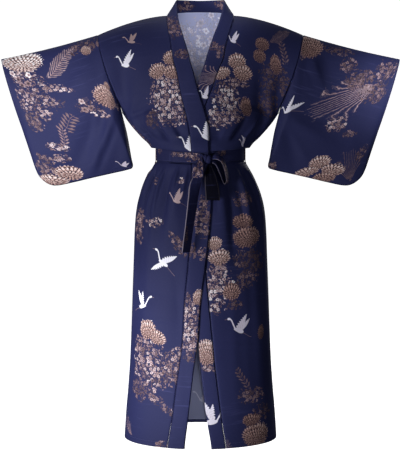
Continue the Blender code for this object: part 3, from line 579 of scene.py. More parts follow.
def sprigs(finish, below, place):
    """A spray of thin needles, in the second pose a leafy stem, and in the third a feather."""
    x, y, reach, tone, pose = layer_of(finish, "sprigs")
    uneven = finish.noise(place, 90.0, 2.0) - 0.5
    root = y + 1.05
    far = (x * x + root * root) ** 0.5
    bent = x.turn_of(root) + far * 0.09 * (x * 4.0).sin() + uneven * 0.10
    stems = (bent * 8.0).zigzag()
    barbs = (far * 11.0 + stems * 2.2 + uneven * 9.0).zigzag()
    thin = (stems - 1.0 + 0.30 / far.most(0.40)).rise(0.0, 0.12)
    tuft = (barbs - 0.50).rise(0.0, 0.25) * (stems - 0.35).rise(0.0, 0.15) * 0.26
    fan = thin.most(tuft * (far - 0.45).rise(0.0, 0.3))
    fan = fan * (0.84 - abs(bent)).rise(0.0, 0.1) * (1.0 - reach + uneven * 0.8).rise(0.0, 0.1)
    sway = x + 0.16 * (y * 2.6).sin()
    stem = (0.035 - abs(sway)).rise(0.0, 0.03) * (0.95 - abs(y)).rise(0.0, 0.05)
    step = y * 3.2 + abs(sway) * -1.7
    pair = step % 1.0 - 0.5
    bulge = (0.50 - abs(abs(sway) - 0.30) * 1.7).most(0.0)
    leaf = (bulge - abs(pair) * 1.25).rise(0.0, 0.10) * (0.60 - abs(sway)).rise(0.0, 0.08)
    leafy = stem.most(leaf) * (1.0 - reach).rise(0.0, 0.1)
    plume = (y * 8.0 - abs(sway) * 4.2 + uneven * 1.2).zigzag()
    edge = (0.78 - y * y * 0.70 - abs(sway) + uneven * 0.5).rise(0.0, 0.14)
    plumes = (plume - 0.42).rise(0.0, 0.30) * edge * (0.98 - abs(y)).rise(0.0, 0.06)
    plumes = plumes.most(stem)
    second = pose.rise(0.4, 0.6)
    third = pose.rise(1.4, 1.6)
    mask = fan * (1.0 - second) + leafy * (second - third) + plumes * third
    light = 0.86 + 0.3 * pair * (second - third) + uneven * 0.8
    return printed(finish, below, mask, tone * light)


def wing(x, y, root_x, root_y, angle, length, width):
    """A wing from its root to its tip: a smooth front edge, and long feathers behind it."""
    over, up = x - root_x, y - root_y
    along = (over * angle.cos() + up * angle.sin()) / length
    inside = along.most(0.0).least(1.0)
    aside = (up * angle.cos() - over * angle.sin()) / width + inside * inside * 0.9
    feather = (inside * 7.0 + aside * 0.8) % 1.0
    front = inside**0.5 * (1.0 - inside) * 1.1
    back = inside**0.35 * (1.0 - inside) ** 0.75 * 2.0 * (1.0 - feather * 0.38)
    shape = (front - aside).rise(0.0, 0.10) * (back + aside).rise(0.0, 0.10)
    return shape * along.rise(-0.02, 0.02) * (1.0 - along).rise(0.0, 0.03), feather


def cranes(finish, below):
    """A flying crane: its body, two wings opened as its pose says, its neck, head and legs."""
    x, y, _, tone, pose = layer_of(finish, "birds")
    up = y + 0.22
    lean = up - x * 0.16
    slim = 0.15 - 0.06 * x
    body = (1.0 - (x / 0.38) * (x / 0.38) - (lean / slim) * (lean / slim)).rise(0.0, 0.25)
    turns = finish.node("ShaderNodeValToRGB", {"stops": WINGS}, {0: pose * 0.25})
    first, second, _ = finish.parts(turns)
    near, plume = wing(x, up, 0.10, 0.02, first * (2.0 * math.pi), 1.16, 0.33)
    far, feather = wing(x, up, -0.02, 0.00, second * (2.0 * math.pi), 1.02, 0.29)
    along = ((x - 0.18) / 0.58).most(0.0).least(1.0)
    slope = along * (1.0 - along)
    bend = up - 0.04 - 0.62 * along * along * (3.0 - 2.0 * along)
    neck = (0.050 - 0.014 * along + slope * 0.20 - abs(bend)).rise(0.0, 0.03)
    neck = neck * x.rise(0.16, 0.22) * (0.84 - x).rise(0.0, 0.03)
    head = (1.0 - ((x - 0.80) / 0.12) ** 2.0 - ((up - 0.66) / 0.08) ** 2.0).rise(0.0, 0.3)
    beak = (0.026 - abs(up - 0.64 + (x - 0.9) * 0.25)).rise(0.0, 0.03)
    beak = beak * x.rise(0.86, 0.90) * (1.08 - x).rise(0.0, 0.03)
    low = abs(up + 0.10 - (x + 0.30) * 0.42)
    legs = (0.026 - low).rise(0.0, 0.03) * (-x).rise(0.26, 0.32) * (1.02 + x).rise(0.0, 0.04)
    white = body.most(near).most(far).most(neck).most(head)
    quill = ((plume - 0.72).rise(0.0, 0.18) * near).most((feather - 0.72).rise(0.0, 0.18) * far)
    below = printed(finish, below, legs.most(beak) * 0.85, tone * 0.55)
    light = tone * (1.0 - 0.10 * quill * (1.0 - body))
    return printed(finish, below, white, light, CRANE_DYES)


def printed_cotton(
    name, ground=paint(36, 40, 82), sheen=0.01, thread=paint(112, 110, 140), gloss=0.14
):
    """The robe's cloth: its dyes on the right side, and pale behind on the wrong side."""
    finish = Finish(name)
    place = finish.node("ShaderNodeUVMap", {"uv_map": "cloth"}, {})
    air = finish.node("ShaderNodeTexCoord", {}, {}, 3)
    streaks = finish.noise(finish.vector("MULTIPLY", place, (6.0, 110.0, 1.0)), 1.0, 3.0, 0.6)
    clouds = finish.noise(place, 3.2, 2.0)
    mist = (streaks - 0.55).rise(0.0, 0.20) * (clouds - 0.48).rise(0.0, 0.16)
    colour = finish.mix(mist * 0.60, ground, paint(70, 73, 124))
    colour = finish.mix((0.50 - clouds).rise(0.0, 0.25) * 0.45, colour, paint(24, 27, 66))
    behind = finish.node("ShaderNodeAttribute", {"attribute_name": "wrong_side"}, {}, 2)
    colour = finish.mix(behind, colour, paint(116, 122, 176))
    colour = sprigs(finish, colour, place)
    colour = blossoms(finish, colour, place)
    colour = chrysanthemum(finish, colour, place)
    colour = cranes(finish, colour)
    # cotton takes the dye unevenly along its threads
    warp = finish.noise(finish.vector("MULTIPLY", place, (2400.0, 120.0, 1.0)), 1.0, 1.0)
    weft = finish.noise(finish.vector("MULTIPLY", place, (110.0, 2300.0, 1.0)), 1.0, 1.0)
    slub = (warp + weft) * 0.5
    colour = finish.mix((slub - 0.5).rise(-0.1, 0.25) * 0.07, colour, thread)
    faded = finish.mix(0.50, colour, paint(206, 211, 242))
    colour = finish.mix(behind, colour, faded)
    # a painted highlight: the folded edges of the bow, where they catch the light, are drawn paler
    worn = finish.node("ShaderNodeAttribute", {"attribute_name": "worn_edge"}, {}, 2)
    colour = finish.mix(worn, colour, paint(150, 142, 160))
    height = finish.node(
        "ShaderNodeBump",
        {},
        {"Strength": 0.35, "Distance": 0.0006, "Height": slub + finish.noise(air, 90.0, 3.0) * 0.9},
    )
    rough = 0.56 + 0.22 * slub
    return finish.end(
        Base_Color=colour,
        Roughness=rough,
        Normal=height,
        Specular_IOR_Level=gloss,
        Sheen_Weight=sheen,
        Sheen_Roughness=0.45,
    )


COTTON = printed_cotton("printed_cotton")

# ==== the back ==================================================================================
# One panel of the cotton, from the nape and both shoulder seams to the hem. It falls straight over
# the shoulder blades, rolls over the belt, is gathered beneath it, and is hemmed 13 mm deep.

# These columns of the tables aren't lengths, but angles, shares and signs.
NO_LENGTHS = ("angle", "to_angle", "side", "shear", "bell", "along", "layer")


def measured(kind, *rows):
    """A table's rows. Its lengths are written in millimetres and kept in metres."""

    def in_metres(name, value):
        return value if name in NO_LENGTHS else value / 1000.0

    return [kind(*map(in_metres, kind._fields, row)) for row in rows]


# Level sections of the body in the robe, from the chest (0) to the hem.
Section = namedtuple("Section", "z half front back side dip shear gap bell", defaults=(0,) * 4)
BODY = measured(
    Section,
    (-130, 280, 102, 88, 90, 0, 0.75, 50, 1),
    (-180, 269, 110, 93, 90, 0, 0.42, 47, 1),
    (-230, 253.5, 114.5, 95.5, 90, 0, 0.17, 36, 0.9),
    (-265, 240.5, 115, 96, 90, 0, 0.05, 22, 0.75),
    (-285, 234.5, 115, 95.5, 90, 0, 0.01, 10, 0.6),
    (-296, 231, 114.5, 95, 90, 0, 0, 0, 0.45),
    (-330, 205.5, 113, 95, 77, 0, 0, 0, 0.2),
    (-362, 177, 114, 97.5, 74, 2, 0, 0, 0.07),
    (-378, 159.5, 119, 103, 74, 6),
    (-388, 151, 120.5, 106, 74, 10),
    (-394.5, 146, 118, 104.5, 75, 11),
    (-390.5, 141, 114.2, 101.8, 75, 7.5),
    (-384, 135, 105.5, 97.5, 76, 5),
    (-392, 128.7, 95.5, 92, 77, 5),
    (-432, 128.7, 95, 92.5, 78, 7.5),
    (-441, 134.5, 97, 97, 79, 7),
    (-458, 145, 100, 104.5, 80, 4),
    (-483, 159, 103, 112, 81),
    (-531, 179, 108, 122, 83),
    (-579, 190.5, 112, 128, 85),
    (-642, 196, 115, 130, 87),
    (-732, 199, 118, 132, 89),
    (-822, 202, 122, 135, 89),
    (-930, 205.5, 127, 139, 88),
    (-1030, 209.5, 131.5, 142.5, 87),
    (-1110, 215, 136.5, 145.5, 86),
    (-1180, 221, 141, 148, 85),
    (-1258, 226, 145, 150, 84),
)
ARMPIT = 5  # section where the armhole closes
BELT_SECTION = 13  # section that the belt lies round
BEHIND = 0.001  # degrees past the side at which a section counts as the back
ROLL_SECTIONS = range(8, 14)  # here the cloth turns sharply, into the belt and out of it
ROLL_ROWS = 3  # more rows of points in each of them

NECK_HALF = 0.0975
NECK_BACK = 0.065
NAPE_RISE = 0.016
SHOULDER_HALF = 0.3075
SHOULDER_DROP = 0.0585
SHOULDER_CURVE = 1.6
CORNER = NECK_HALF / SHOULDER_HALF  # share of the shoulder that the neckband takes
YOKE_FRONT = np.array((0.0, -0.11, -0.02))
YOKE_BACK = np.array((0.0, 0.11, -0.02))
YOKE_NAPE = np.array((0.0, 0.03, -0.12))
YOKE_NECK_FLARE = 0.03

# A fold runs from one place to another, a place being an angle round the body and a height. Its
# push is out of the body for a ridge and into it for a trough. The narrow ones are sharper: their
# push counts CREASE_DEEPER times.
Fold = namedtuple("Fold", "angle z to_angle to_z width push")
BODY_FOLDS = measured(
    Fold,
    (-19, -435, -22, -520, 13, -6.5), (-26, -435, -30, -740, 24, 8.5),
    (-36, -435, -38, -700, 22, -9), (-49, -435, -47, -800, 28, 6), (-62, -435, -57, -640, 24, -6),
    (-10, -450, -8, -640, 24, -4), (-42, -820, -55, -1290, 60, 5), (-27, -900, -33, -1290, 50, -4),
    (20, -435, 22, -800, 28, 8.5), (31, -440, 33, -820, 30, -8), (45, -435, 48, -660, 22, 5.5),
    (56, -435, 60, -680, 22, -6), (68, -435, 72, -620, 20, 4), (52, -800, 60, -1290, 60, 4.5),
    (35, -860, 38, -1290, 50, -4), (104, -435, 108, -720, 30, -6.5),
    (120, -435, 122, -860, 34, 7.5), (137, -435, 138, -760, 32, -7), (154, -435, 150, -900, 34, 7),
    (171, -435, 168, -800, 32, -6.5), (-173, -435, -170, -860, 34, 6),
    (-158, -435, -154, -720, 30, -7), (-141, -435, -138, -880, 34, 7.5),
    (-124, -435, -126, -780, 32, -7), (-108, -435, -112, -700, 30, 6),
    (128, -880, 136, -1290, 70, 6), (-145, -860, -150, -1290, 70, 6),
    (-31, -437, -34, -630, 9.5, -10), (-53, -437, -50, -680, 10, -10.5),
    (-68, -437, -64, -600, 9.5, -8), (26, -437, 28, -720, 10.5, -10),
    (39, -437, 42, -640, 9.5, -8.5), (62, -437, 66, -620, 9.5, -8),
    (-34, -395, -47, -300, 10, -8.5), (-56, -393, -70, -310, 10, -7.5),
    (31, -395, 44, -290, 10, -8.5), (52, -393, 66, -300, 10, -8), (-15, -400, -25, -300, 14, -5.5),
    (-24, -400, -40, -270, 22, 5.5), (-40, -400, -60, -290, 20, -5.5),
    (-58, -395, -72, -320, 18, 4.5), (14, -405, 18, -300, 16, -5.5), (23, -405, 34, -280, 20, 6),
    (36, -400, 52, -290, 20, -5.5), (54, -395, 70, -310, 20, 5), (-80, -250, -72, -100, 22, -6),
    (80, -250, 74, -120, 22, -5), (-62, -240, -50, -110, 28, 4.5), (-66, -390, -50, -230, 16, -6),
    (-76, -370, -66, -180, 18, 5.5), (64, -392, 60, -120, 22, -9), (76, -370, 70, -140, 18, 6),
    (170, -400, 172, -240, 26, 6), (153, -400, 148, -260, 26, -6), (135, -400, 120, -270, 26, 6),
    (-178, -400, -176, -280, 22, -5.5), (-160, -400, -152, -240, 26, 6),
    (-143, -400, -132, -270, 26, -6), (-124, -395, -108, -290, 24, 5.5),
)
FOLD_METRES = 0.0030  # one degree round the body, as a length
CREASE_WIDTH = 0.009  # a fold up to this width is a narrow one
CREASE_DEEPER = 2.2
BELT_QUIET = (-0.382, -0.448)  # between these heights the belt holds the cloth smooth
QUIET_RUN = 0.030

# Creases are mostly narrower than folds. Some lie beside a fold and sharpen its edge.
BODY_CREASES = measured(
    Fold,
    # gathered beneath the belt, in front
    (-15, -440, -17, -560, 5.5, 2.2), (-23, -442, -27, -600, 6, -2),
    (-32, -440, -33, -555, 6.5, 1.8), (-43, -440, -44, -610, 6, -2.2),
    (-55, -442, -53, -560, 7, 2.4), (-67, -440, -63, -580, 7, -1.8), (-74, -440, -72, -540, 6, 1.6),
    (16, -446, 14, -600, 5.5, -2), (25, -440, 27, -640, 6, 2.2), (38, -440, 41, -560, 7, 2),
    (50, -442, 54, -600, 6, -2.2), (62, -440, 66, -570, 6.5, 2), (74, -442, 79, -560, 6.5, -1.6),
    # pulled into the belt from above, in front
    (-20, -392, -27, -325, 6, 2.2), (-31, -394, -46, -300, 6.5, -2.2), (-47, -392, -64, -315, 6, 2),
    (-66, -390, -78, -330, 5.5, -1.6), (18, -396, 24, -330, 5.5, 2),
    (29, -394, 42, -305, 6.5, -2.2), (45, -392, 60, -300, 6, 2), (62, -390, 76, -330, 6, -1.8),
    # slanting pulls from the armpits over the chest
    (-84, -290, -40, -215, 10, 1.8), (-78, -310, -34, -262, 8, -1.6), (84, -285, 46, -205, 10, 1.8),
    (78, -305, 38, -255, 8, -1.8),
    # long soft lines down the skirt
    (-16, -640, -21, -1180, 16, -1.6), (-50, -700, -58, -1240, 14, 1.6),
    (-68, -620, -72, -1200, 18, -1.8), (27, -760, 30, -1250, 15, 1.8),
    (44, -700, 50, -1230, 16, -1.8), (70, -640, 74, -1220, 18, 1.6),
    # slight level rumples, where the cloth was folded away
    (-75, -905, -12, -893, 5, 0.7), (12, -965, 78, -980, 5, 0.7), (-70, -1120, -20, -1108, 6, -0.7),
    (18, -730, 66, -722, 5, -0.6),
    # behind: gathered into the belt from above and below
    (98, -440, 101, -580, 6.5, 2), (112, -440, 114, -620, 7, -2.4),
    (129, -440, 131, -590, 6.5, 2.2), (146, -440, 143, -640, 7, -2.4),
    (163, -440, 161, -580, 6.5, 2.2), (178, -440, 176, -620, 7, -2.2),
    (-166, -440, -164, -590, 6.5, 2.2), (-150, -440, -147, -640, 7, -2.2),
    (-133, -440, -131, -580, 6.5, 2.4), (-116, -440, -118, -620, 7, -2.2),
    (-99, -440, -102, -570, 6.5, 1.8), (162, -392, 158, -300, 6.5, 2.2),
    (144, -392, 134, -310, 6.5, -2.2), (127, -392, 113, -305, 7, 2),
    (179, -392, 178, -300, 6.5, -2.2), (-169, -392, -164, -290, 6.5, 2.2),
    (-151, -392, -142, -310, 6.5, -2.4), (-133, -392, -120, -300, 7, 2),
    (-115, -390, -102, -320, 6.5, -1.8), (140, -240, 100, -160, 14, -1.8),
    (-140, -240, -102, -165, 14, -1.8), (160, -700, 156, -1240, 18, -2),
    (-165, -740, -160, -1250, 18, 2), (112, -720, 118, -1220, 18, 1.8),
    (-114, -700, -120, -1230, 18, -2),
)
SHOULDER_SEAM = 0.004  # share of the yoke at which both panels start, clear of each other
BODY_MIDDLE = (0.0, 0.0, -0.6)

# What shows of the back from the front: flowers along both sides, and inside the neck.
BACK_PRINT_FRONT = print_of(
    clusters=[
        (127, 117, 14, 16, 40, 0.55), (136, 128, 14, 22, 45, 0.5), (147, 139, 12, 24, 45, 0.62),
        (158, 175, 8, 40, -15, 0.45), (146, 205, 8, 40, -10, 0.4),
    ],
)
BACK_PRINT = print_of(
    mums=[
        (165, 52, 30, 20, 0, 0.55, 1), (184, 66, 24, 18, 0, 0.5), (256, 122, 18, 14, 0, 0.5),
        (160, 196, 30, 22, 0, 0.55, 1), (178, 210, 22, 18, 0, 0.48), (236, 308, 34, 26, 0, 0.6, 1),
        (252, 324, 22, 18, 0, 0.45), (162, 374, 24, 18, 0, 0.55), (246, 424, 34, 24, 0, 0.5, 1),
    ],
    clusters=[
        (168, 88, 40, 40, 0, 0.8), (240, 128, 30, 22, 10, 0.55), (190, 30, 40, 44, 20, 1, 1),
        (206, 56, 46, 40, 0, 0.96), (214, 26, 24, 20, 0, 0.9), (166, 236, 40, 46, 0, 0.75),
        (240, 350, 44, 44, 0, 0.7), (150, 350, 30, 34, 10, 0.5), (140, 428, 26, 20, 0, 0.55),
    ],
    sprigs=[
        (196, 92, 24, 40, -25, 0.5, 1), (140, 110, 30, 34, 20, 0.45),
        (190, 250, 24, 40, -30, 0.5, 1), (214, 342, 24, 36, 30, 0.5, 1),
        (182, 384, 20, 34, -40, 0.45, 1),
    ],
    birds=[
        (236, 62, 30, 26, 10, 1), (262, 104, -26, 24, 20, 0.95, 2), (176, 124, 24, 22, -20, 0.9, 1),
        (232, 206, 30, 26, 135, 1, 4), (246, 262, -26, 28, 0, 1), (170, 306, 30, 26, -10, 1, 1),
        (196, 424, 28, 24, 15, 0.95, 2),
    ],
)


def between(a, b, share):
    """The value that lies a share of the way from a to b."""
    return a + (b - a) * share


def hermite(a, leave, b, arrive, t):
    """A point on the cubic that leaves a and arrives at b with the given tangents."""
    return (
        a * (1.0 + 2.0 * t) * (1.0 - t) ** 2
        + leave * t * (1.0 - t) ** 2
        + b * t * t * (3.0 - 2.0 * t)
        + arrive * t * t * (t - 1.0)
    )


def smooth_row(table, place):
    """A row of the table at a place between its rows, on a smooth curve through them all."""
    first = max(0, min(len(table) - 2, math.floor(place)))
    share = place - first
    before = table[max(0, first - 1)]
    after = table[min(len(table) - 1, first + 2)]
    values = []
    for p, a, b, n in zip(before, table[first], table[first + 1], after):
        values.append(hermite(a, (b - p) * 0.5, b, (n - a) * 0.5, share))
    return type(table[0])(*values)


def place_at(table, column, value):
    """The place, between a table's rows, where a rising or falling column has a value."""
    heads = np.array([getattr(row, column) for row in table])
    if heads[-1] < heads[0]:
        heads, value = -heads, -value
    return float(np.interp(value, heads, np.arange(len(heads))))


def shoulder_fall(x):
    """How far the shoulder line lies below the neck, sideways from the middle."""
    share = np.clip(np.abs(x) - NECK_HALF, 0.0, None) / (SHOULDER_HALF - NECK_HALF)
    return SHOULDER_DROP * share**SHOULDER_CURVE


def section_point(section, angle):
    """Points of a section. The angle is 0 in front, above 0 to the left, and 180 behind."""
    angle = (np.asarray(angle, float) + 180.0) % 360.0 - 180.0
    front = np.abs(angle) <= 90.0
    turn = np.where(front, np.abs(angle), 180.0 - np.abs(angle))
    cosine = np.cos(np.radians(turn))
    bulge = between(cosine, cosine * cosine, section.bell)
    depth = between(section.gap, np.where(front, section.front, section.back), bulge)
    across = between(np.sin(np.radians(turn)), turn / 90.0, section.bell)
    x = np.copysign(section.half * across, angle)
    z = section.z - section.shear * shoulder_fall(x) - section.dip * cosine**2 * front
    return np.stack((x, np.where(front, -depth, depth), z), -1)


def angle_at(section, x):
    """The angles in front at which a section has gone sideways to x."""
    turns = np.linspace(0.0, 90.0, 721)
    reach = section.half * between(np.sin(np.radians(turns)), turns / 90.0, section.bell)
    return np.copysign(np.interp(np.abs(x), reach, turns), x)


def outward(place, angle):
    """The directions out of the body's surface at a section's place."""
    step, turn = 0.05, 1.5
    above = smooth_row(BODY, max(0.0, place - step))
    below = smooth_row(BODY, min(len(BODY) - 1.0, place + step))
    here = smooth_row(BODY, place)
    down = section_point(below, angle) - section_point(above, angle)
    aside = section_point(here, angle + turn) - section_point(here, angle - turn)
    return unit(np.cross(down, aside))


def bar(x, y, way_x, way_y, width):
    """A soft bar along a way: 1 at its strongest, 0 beyond its ends and far beside it."""
    share = np.clip((x * way_x + y * way_y) / (way_x**2 + way_y**2), 0.0, 1.0)
    aside = (x * way_y - y * way_x) / math.hypot(way_x, way_y)
    return np.sin(math.pi * share**0.6) * np.exp(-((aside / width) ** 2))


def body_folds(angle, z):
    """How far all folds and creases push the body's surface out."""
    upper, lower = BELT_QUIET
    away = np.where(z > (upper + lower) / 2, z - upper, lower - z)
    push = np.zeros(np.broadcast(angle, z).shape)
    for fold in BODY_FOLDS + BODY_CREASES:
        turn = (angle - fold.angle + 180.0) % 360.0 - 180.0
        over, up = turn * FOLD_METRES, z - fold.z
        way = (fold.to_angle - fold.angle) * FOLD_METRES, fold.to_z - fold.z
        deeper = 1.0 if fold.width > CREASE_WIDTH else CREASE_DEEPER
        push += fold.push * deeper * bar(over, up, *way, fold.width)
    return push * ease(away / QUIET_RUN)


def body_point(angle, place, out=0.0):
    """Points of the body at a section's place, moved out of its inner face."""
    point = section_point(smooth_row(BODY, place), angle)
    push = out + body_folds(angle, point[..., 2])
    return point + outward(place, angle) * push[..., None]


def body_places():
    """Places of the cloth's rows below the chest, closer together where it turns sharply."""
    places = []
    for number, (upper, lower) in enumerate(zip(BODY, BODY[1:])):
        run = math.hypot(
            upper.z - lower.z, upper.half - lower.half, upper.front - lower.front, upper.dip - lower.dip
        )
        count = max(2, math.ceil(run / STEP)) + (ROLL_ROWS if number in ROLL_SECTIONS else 0)
        places += [number + step / count for step in range(count)]
    return places + [len(BODY) - 1.0]


def yoke_curve(top, leave, angle, t):
    """Points on the way from the top edge (0) down to the first section (1)."""
    chest = section_point(BODY[0], angle)
    below = section_point(smooth_row(BODY, 0.1), angle)
    arrive = unit(below - chest) * np.linalg.norm(chest - top, axis=-1, keepdims=True)
    return hermite(top, leave, chest, arrive, t)


def back_angle(side, share):
    """Where a place across the back's yoke comes down on the first section."""
    return side * np.maximum(90.0 + BEHIND, 180.0 - 90.0 * share)


def back_yoke(side, share, t):
    """The back's yoke: share is 0 at the nape and 1 at the armhole, side is -1 or 1."""
    turn = np.radians(90.0 * np.minimum(1.0, share / CORNER))
    x = side * np.where(share < CORNER, NECK_HALF * np.sin(turn), SHOULDER_HALF * share)
    fall = np.where(share < CORNER, -NAPE_RISE * np.cos(turn), shoulder_fall(x))
    top = np.stack((x, NECK_BACK * np.cos(turn), -fall), -1)
    leave = between(YOKE_BACK, YOKE_NAPE, np.cos(turn)[..., None] ** 2)
    return yoke_curve(top, leave, back_angle(side, share), t)


def yoke_normal(yoke, side, share, t):
    """The directions out of a yoke."""
    step = 0.01
    share = np.asarray(share, float)
    more, less = np.minimum(1.0, share + step), np.maximum(0.0, share - step)
    aside = yoke(side, more, t) - yoke(side, less, t)
    down = yoke(side, share, min(1.0, t + step)) - yoke(side, share, max(0.0, t - step))
    facing = np.sign(yoke(1.0, 0.5, 1.0)[1])  # -1 on the front and 1 on the back
    return unit(np.cross(aside, down)) * np.asarray(side * facing, float)[..., None]


def yoke_rows(yoke, side, share, angle_of, steps):
    """Rows of a yoke, with the body's folds fading in from the shoulder line."""
    rows = []
    for t in steps:
        point = yoke(side, share, max(t, SHOULDER_SEAM))
        push = body_folds(angle_of(side, share), point[..., 2]) * t
        rows.append(point + yoke_normal(yoke, side, share, t) * push[..., None])
    return rows


def cut_cloth(points, first_row, start):
    """Each point's place in the flat cloth: along its row from start, and down its column."""
    across = lengths(points, 1)
    down = lengths(points, 0)
    start = np.asarray(start)[:, None]
    return np.stack((start + across, down[first_row] - down), -1)


def thickened(points, inside, closed=False):
    """Points moved out of a solid's inner face to the cloth's outer side."""
    return points + facing_out(points, inside, closed) * CLOTH_OUT


WALL = 0.0016  # the solid's wall of one layer of cloth
CLOTH_OUT = WALL - 0.0001  # the cloth's outer side lies just within it
YOKE_ROWS = 26
YOKE_STEPS = [row / YOKE_ROWS for row in range(YOKE_ROWS)]
SEAM = 0.0005  # air between two pieces at a seam
BACK_COLUMNS = 66  # in each half of the back
BACK_UNDERLAP = 0.005  # how far the back runs on up beneath the neckband
UNDERLAP_RUN = 0.05  # share of the shoulder over which it dies out beside the neck


def make_back():
    """The back, and the line that its hem is stitched along."""
    half = np.linspace(0.0, 1.0, BACK_COLUMNS + 1)
    side = np.concatenate((-np.ones(BACK_COLUMNS), np.ones(BACK_COLUMNS + 1)))
    share = np.concatenate((half[:0:-1], half))
    rows = yoke_rows(back_yoke, side, share, back_angle, YOKE_STEPS)
    at_neck = ease((CORNER - share) / UNDERLAP_RUN)[:, None]
    rows[0] = rows[0] + unit(rows[0] - rows[1]) * at_neck * BACK_UNDERLAP
    for place in body_places():
        section = smooth_row(BODY, place)
        stop = section.side + math.degrees(SEAM / 2 / section.half)
        rows.append(body_point(side * between(180.0, stop, share), place))
    points = thickened(np.array(rows), BODY_MIDDLE)
    across = lengths(points, 1)
    flat = cut_cloth(points, len(YOKE_STEPS), -across[:, BACK_COLUMNS])
    points = drawn_in(points, BODY_MIDDLE, ("first_column", "last_column", "first_row"))
    piece = shell("back", points, flat, BODY_MIDDLE, BACK_PRINT_FRONT, BACK_PRINT)
    piece.data.materials.append(COTTON)
    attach(piece, "root")
    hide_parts("back_bodice", "back_skirt")
    return hem_line(points, BODY_MIDDLE)


HEM_LINES = [make_back()]

# ==== the fronts ================================================================================
# Two panels of the cotton, from the shoulder seams to the hem and from the neckband to the side
# seams. The wearer's left one lies beneath the right one, which stands off it by the layers below.
OVER_LIFT = 0.0046  # how far the upper front stands off to clear the lower one
LIFT_START = 0.050  # the lift begins this far beyond the lower front's edge
LIFT_RUN = 0.038  # and is full after this much more
FRONT_COLUMNS = 62
UNDERLAP = 0.003  # how far a front runs on beneath the neckband beside the neck
BAND_RISES = 0.70  # above this share of the yoke the neckband lies on the front

# The edges of both front bands, sideways from the middle.
FrontEdge = namedtuple("FrontEdge", "z over_seam over_free under_seam under_free")
FRONT_EDGES = measured(
    FrontEdge,
    (-130, -81.5, -32, 69, 17.5),
    (-180, -68, -18.5, 49.7, 2),
    (-230, -59, -6, 32, -13),
    (-290, -44, 12, 9, -33),
    (-330, -34.5, 22, -3, -46),
    (-400, -24.7, 24.6, -11, -58),
    (-440, -24.5, 26.2, -11.5, -59),
    (-540, -25.5, 32.2, -6, -55),
    (-640, -28, 25.5, 3, -44),
    (-740, -35, 14, 14, -33),
    (-840, -45, 1, 24, -21),
    (-950, -51, -6.5, 34, -7.5),
    (-1030, -62, -17.8, 42, 0.3),
    (-1110, -73, -27.2, 52, 9.4),
    (-1180, -82.5, -35.7, 61, 18.6),
    (-1258, -94.3, -44.8, 72.5, 30.8),
)


def front_edge(z):
    """The sideways places of both front bands' edges at a height."""
    return smooth_row(FRONT_EDGES, place_at(FRONT_EDGES, "z", z))


def over_lift(x, z):
    """How far the upper front stands off the body where the lower front lies beneath it."""
    start = front_edge(z).under_free - LIFT_START
    return OVER_LIFT * ease((x - start) / LIFT_RUN)


def front_point(x, place, out=0.0, over=False):
    """Points of a front, sideways from the middle, at a section's place."""
    section = smooth_row(BODY, place)
    if over:
        out = out + over_lift(x, section.z)
    return body_point(angle_at(section, x), place, out)


def chest_angle(side, share):
    """Where a place across the front's yoke comes down on the first section."""
    side = np.asarray(side)
    edge = np.where(side < 0, FRONT_EDGES[0].over_seam, FRONT_EDGES[0].under_seam)
    return between(angle_at(BODY[0], edge), side * 90.0, share)


def front_yoke(side, share, t):
    """The front's yoke: share is 0 at the neckband's seam and 1 at the armhole."""
    share = np.asarray(share, float)
    x = side * between(NECK_HALF, SHOULDER_HALF, share)
    top = np.stack((x, np.zeros_like(x), -shoulder_fall(x)), -1)
    flare = side * YOKE_NECK_FLARE * (1.0 - share) ** 2
    leave = YOKE_FRONT + np.stack((flare, np.zeros_like(flare), np.zeros_like(flare)), -1)
    return yoke_curve(top, leave, chest_angle(side, share), t)


def make_front(name, side, over, motifs):
    """One front, shoulder to hem and neckband's seam to side, and its hem's line of stitches."""
    share = np.linspace(0.0, 1.0, FRONT_COLUMNS + 1)
    rows = yoke_rows(front_yoke, side, share, chest_angle, YOKE_STEPS)
    for t, row in zip(YOKE_STEPS, rows):
        lap = UNDERLAP if t < BAND_RISES else -SEAM
        row[0] += unit(row[0] - row[1]) * lap
    starts = []
    for place in body_places():
        section = smooth_row(BODY, place)
        edges = front_edge(section.z)
        seam = (edges.over_seam if over else edges.under_seam) + side * SEAM
        starts.append(seam)
        stop = side * (section.side - math.degrees(SEAM / 2 / section.half))
        angle = between(angle_at(section, seam), stop, share)
        lift = over_lift(section_point(section, angle)[:, 0], section.z) if over else 0.0
        rows.append(body_point(angle, place, lift))
    inside = (side * 0.05, 0.0, -0.6)
    points = thickened(np.array(rows), inside)
    starts = [points[number, 0, 0] for number in range(len(YOKE_STEPS))] + starts
    flat = cut_cloth(points, len(YOKE_STEPS), [side * start for start in starts]) * (side, 1.0)
    points = drawn_in(points, inside, ("first_column", "last_column", "first_row"))
    piece = shell(name, points, flat, inside, motifs)
    piece.data.materials.append(COTTON)
    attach(piece, "root")
    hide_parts(name + "_bodice", name + "_skirt")
    return hem_line(points, inside)


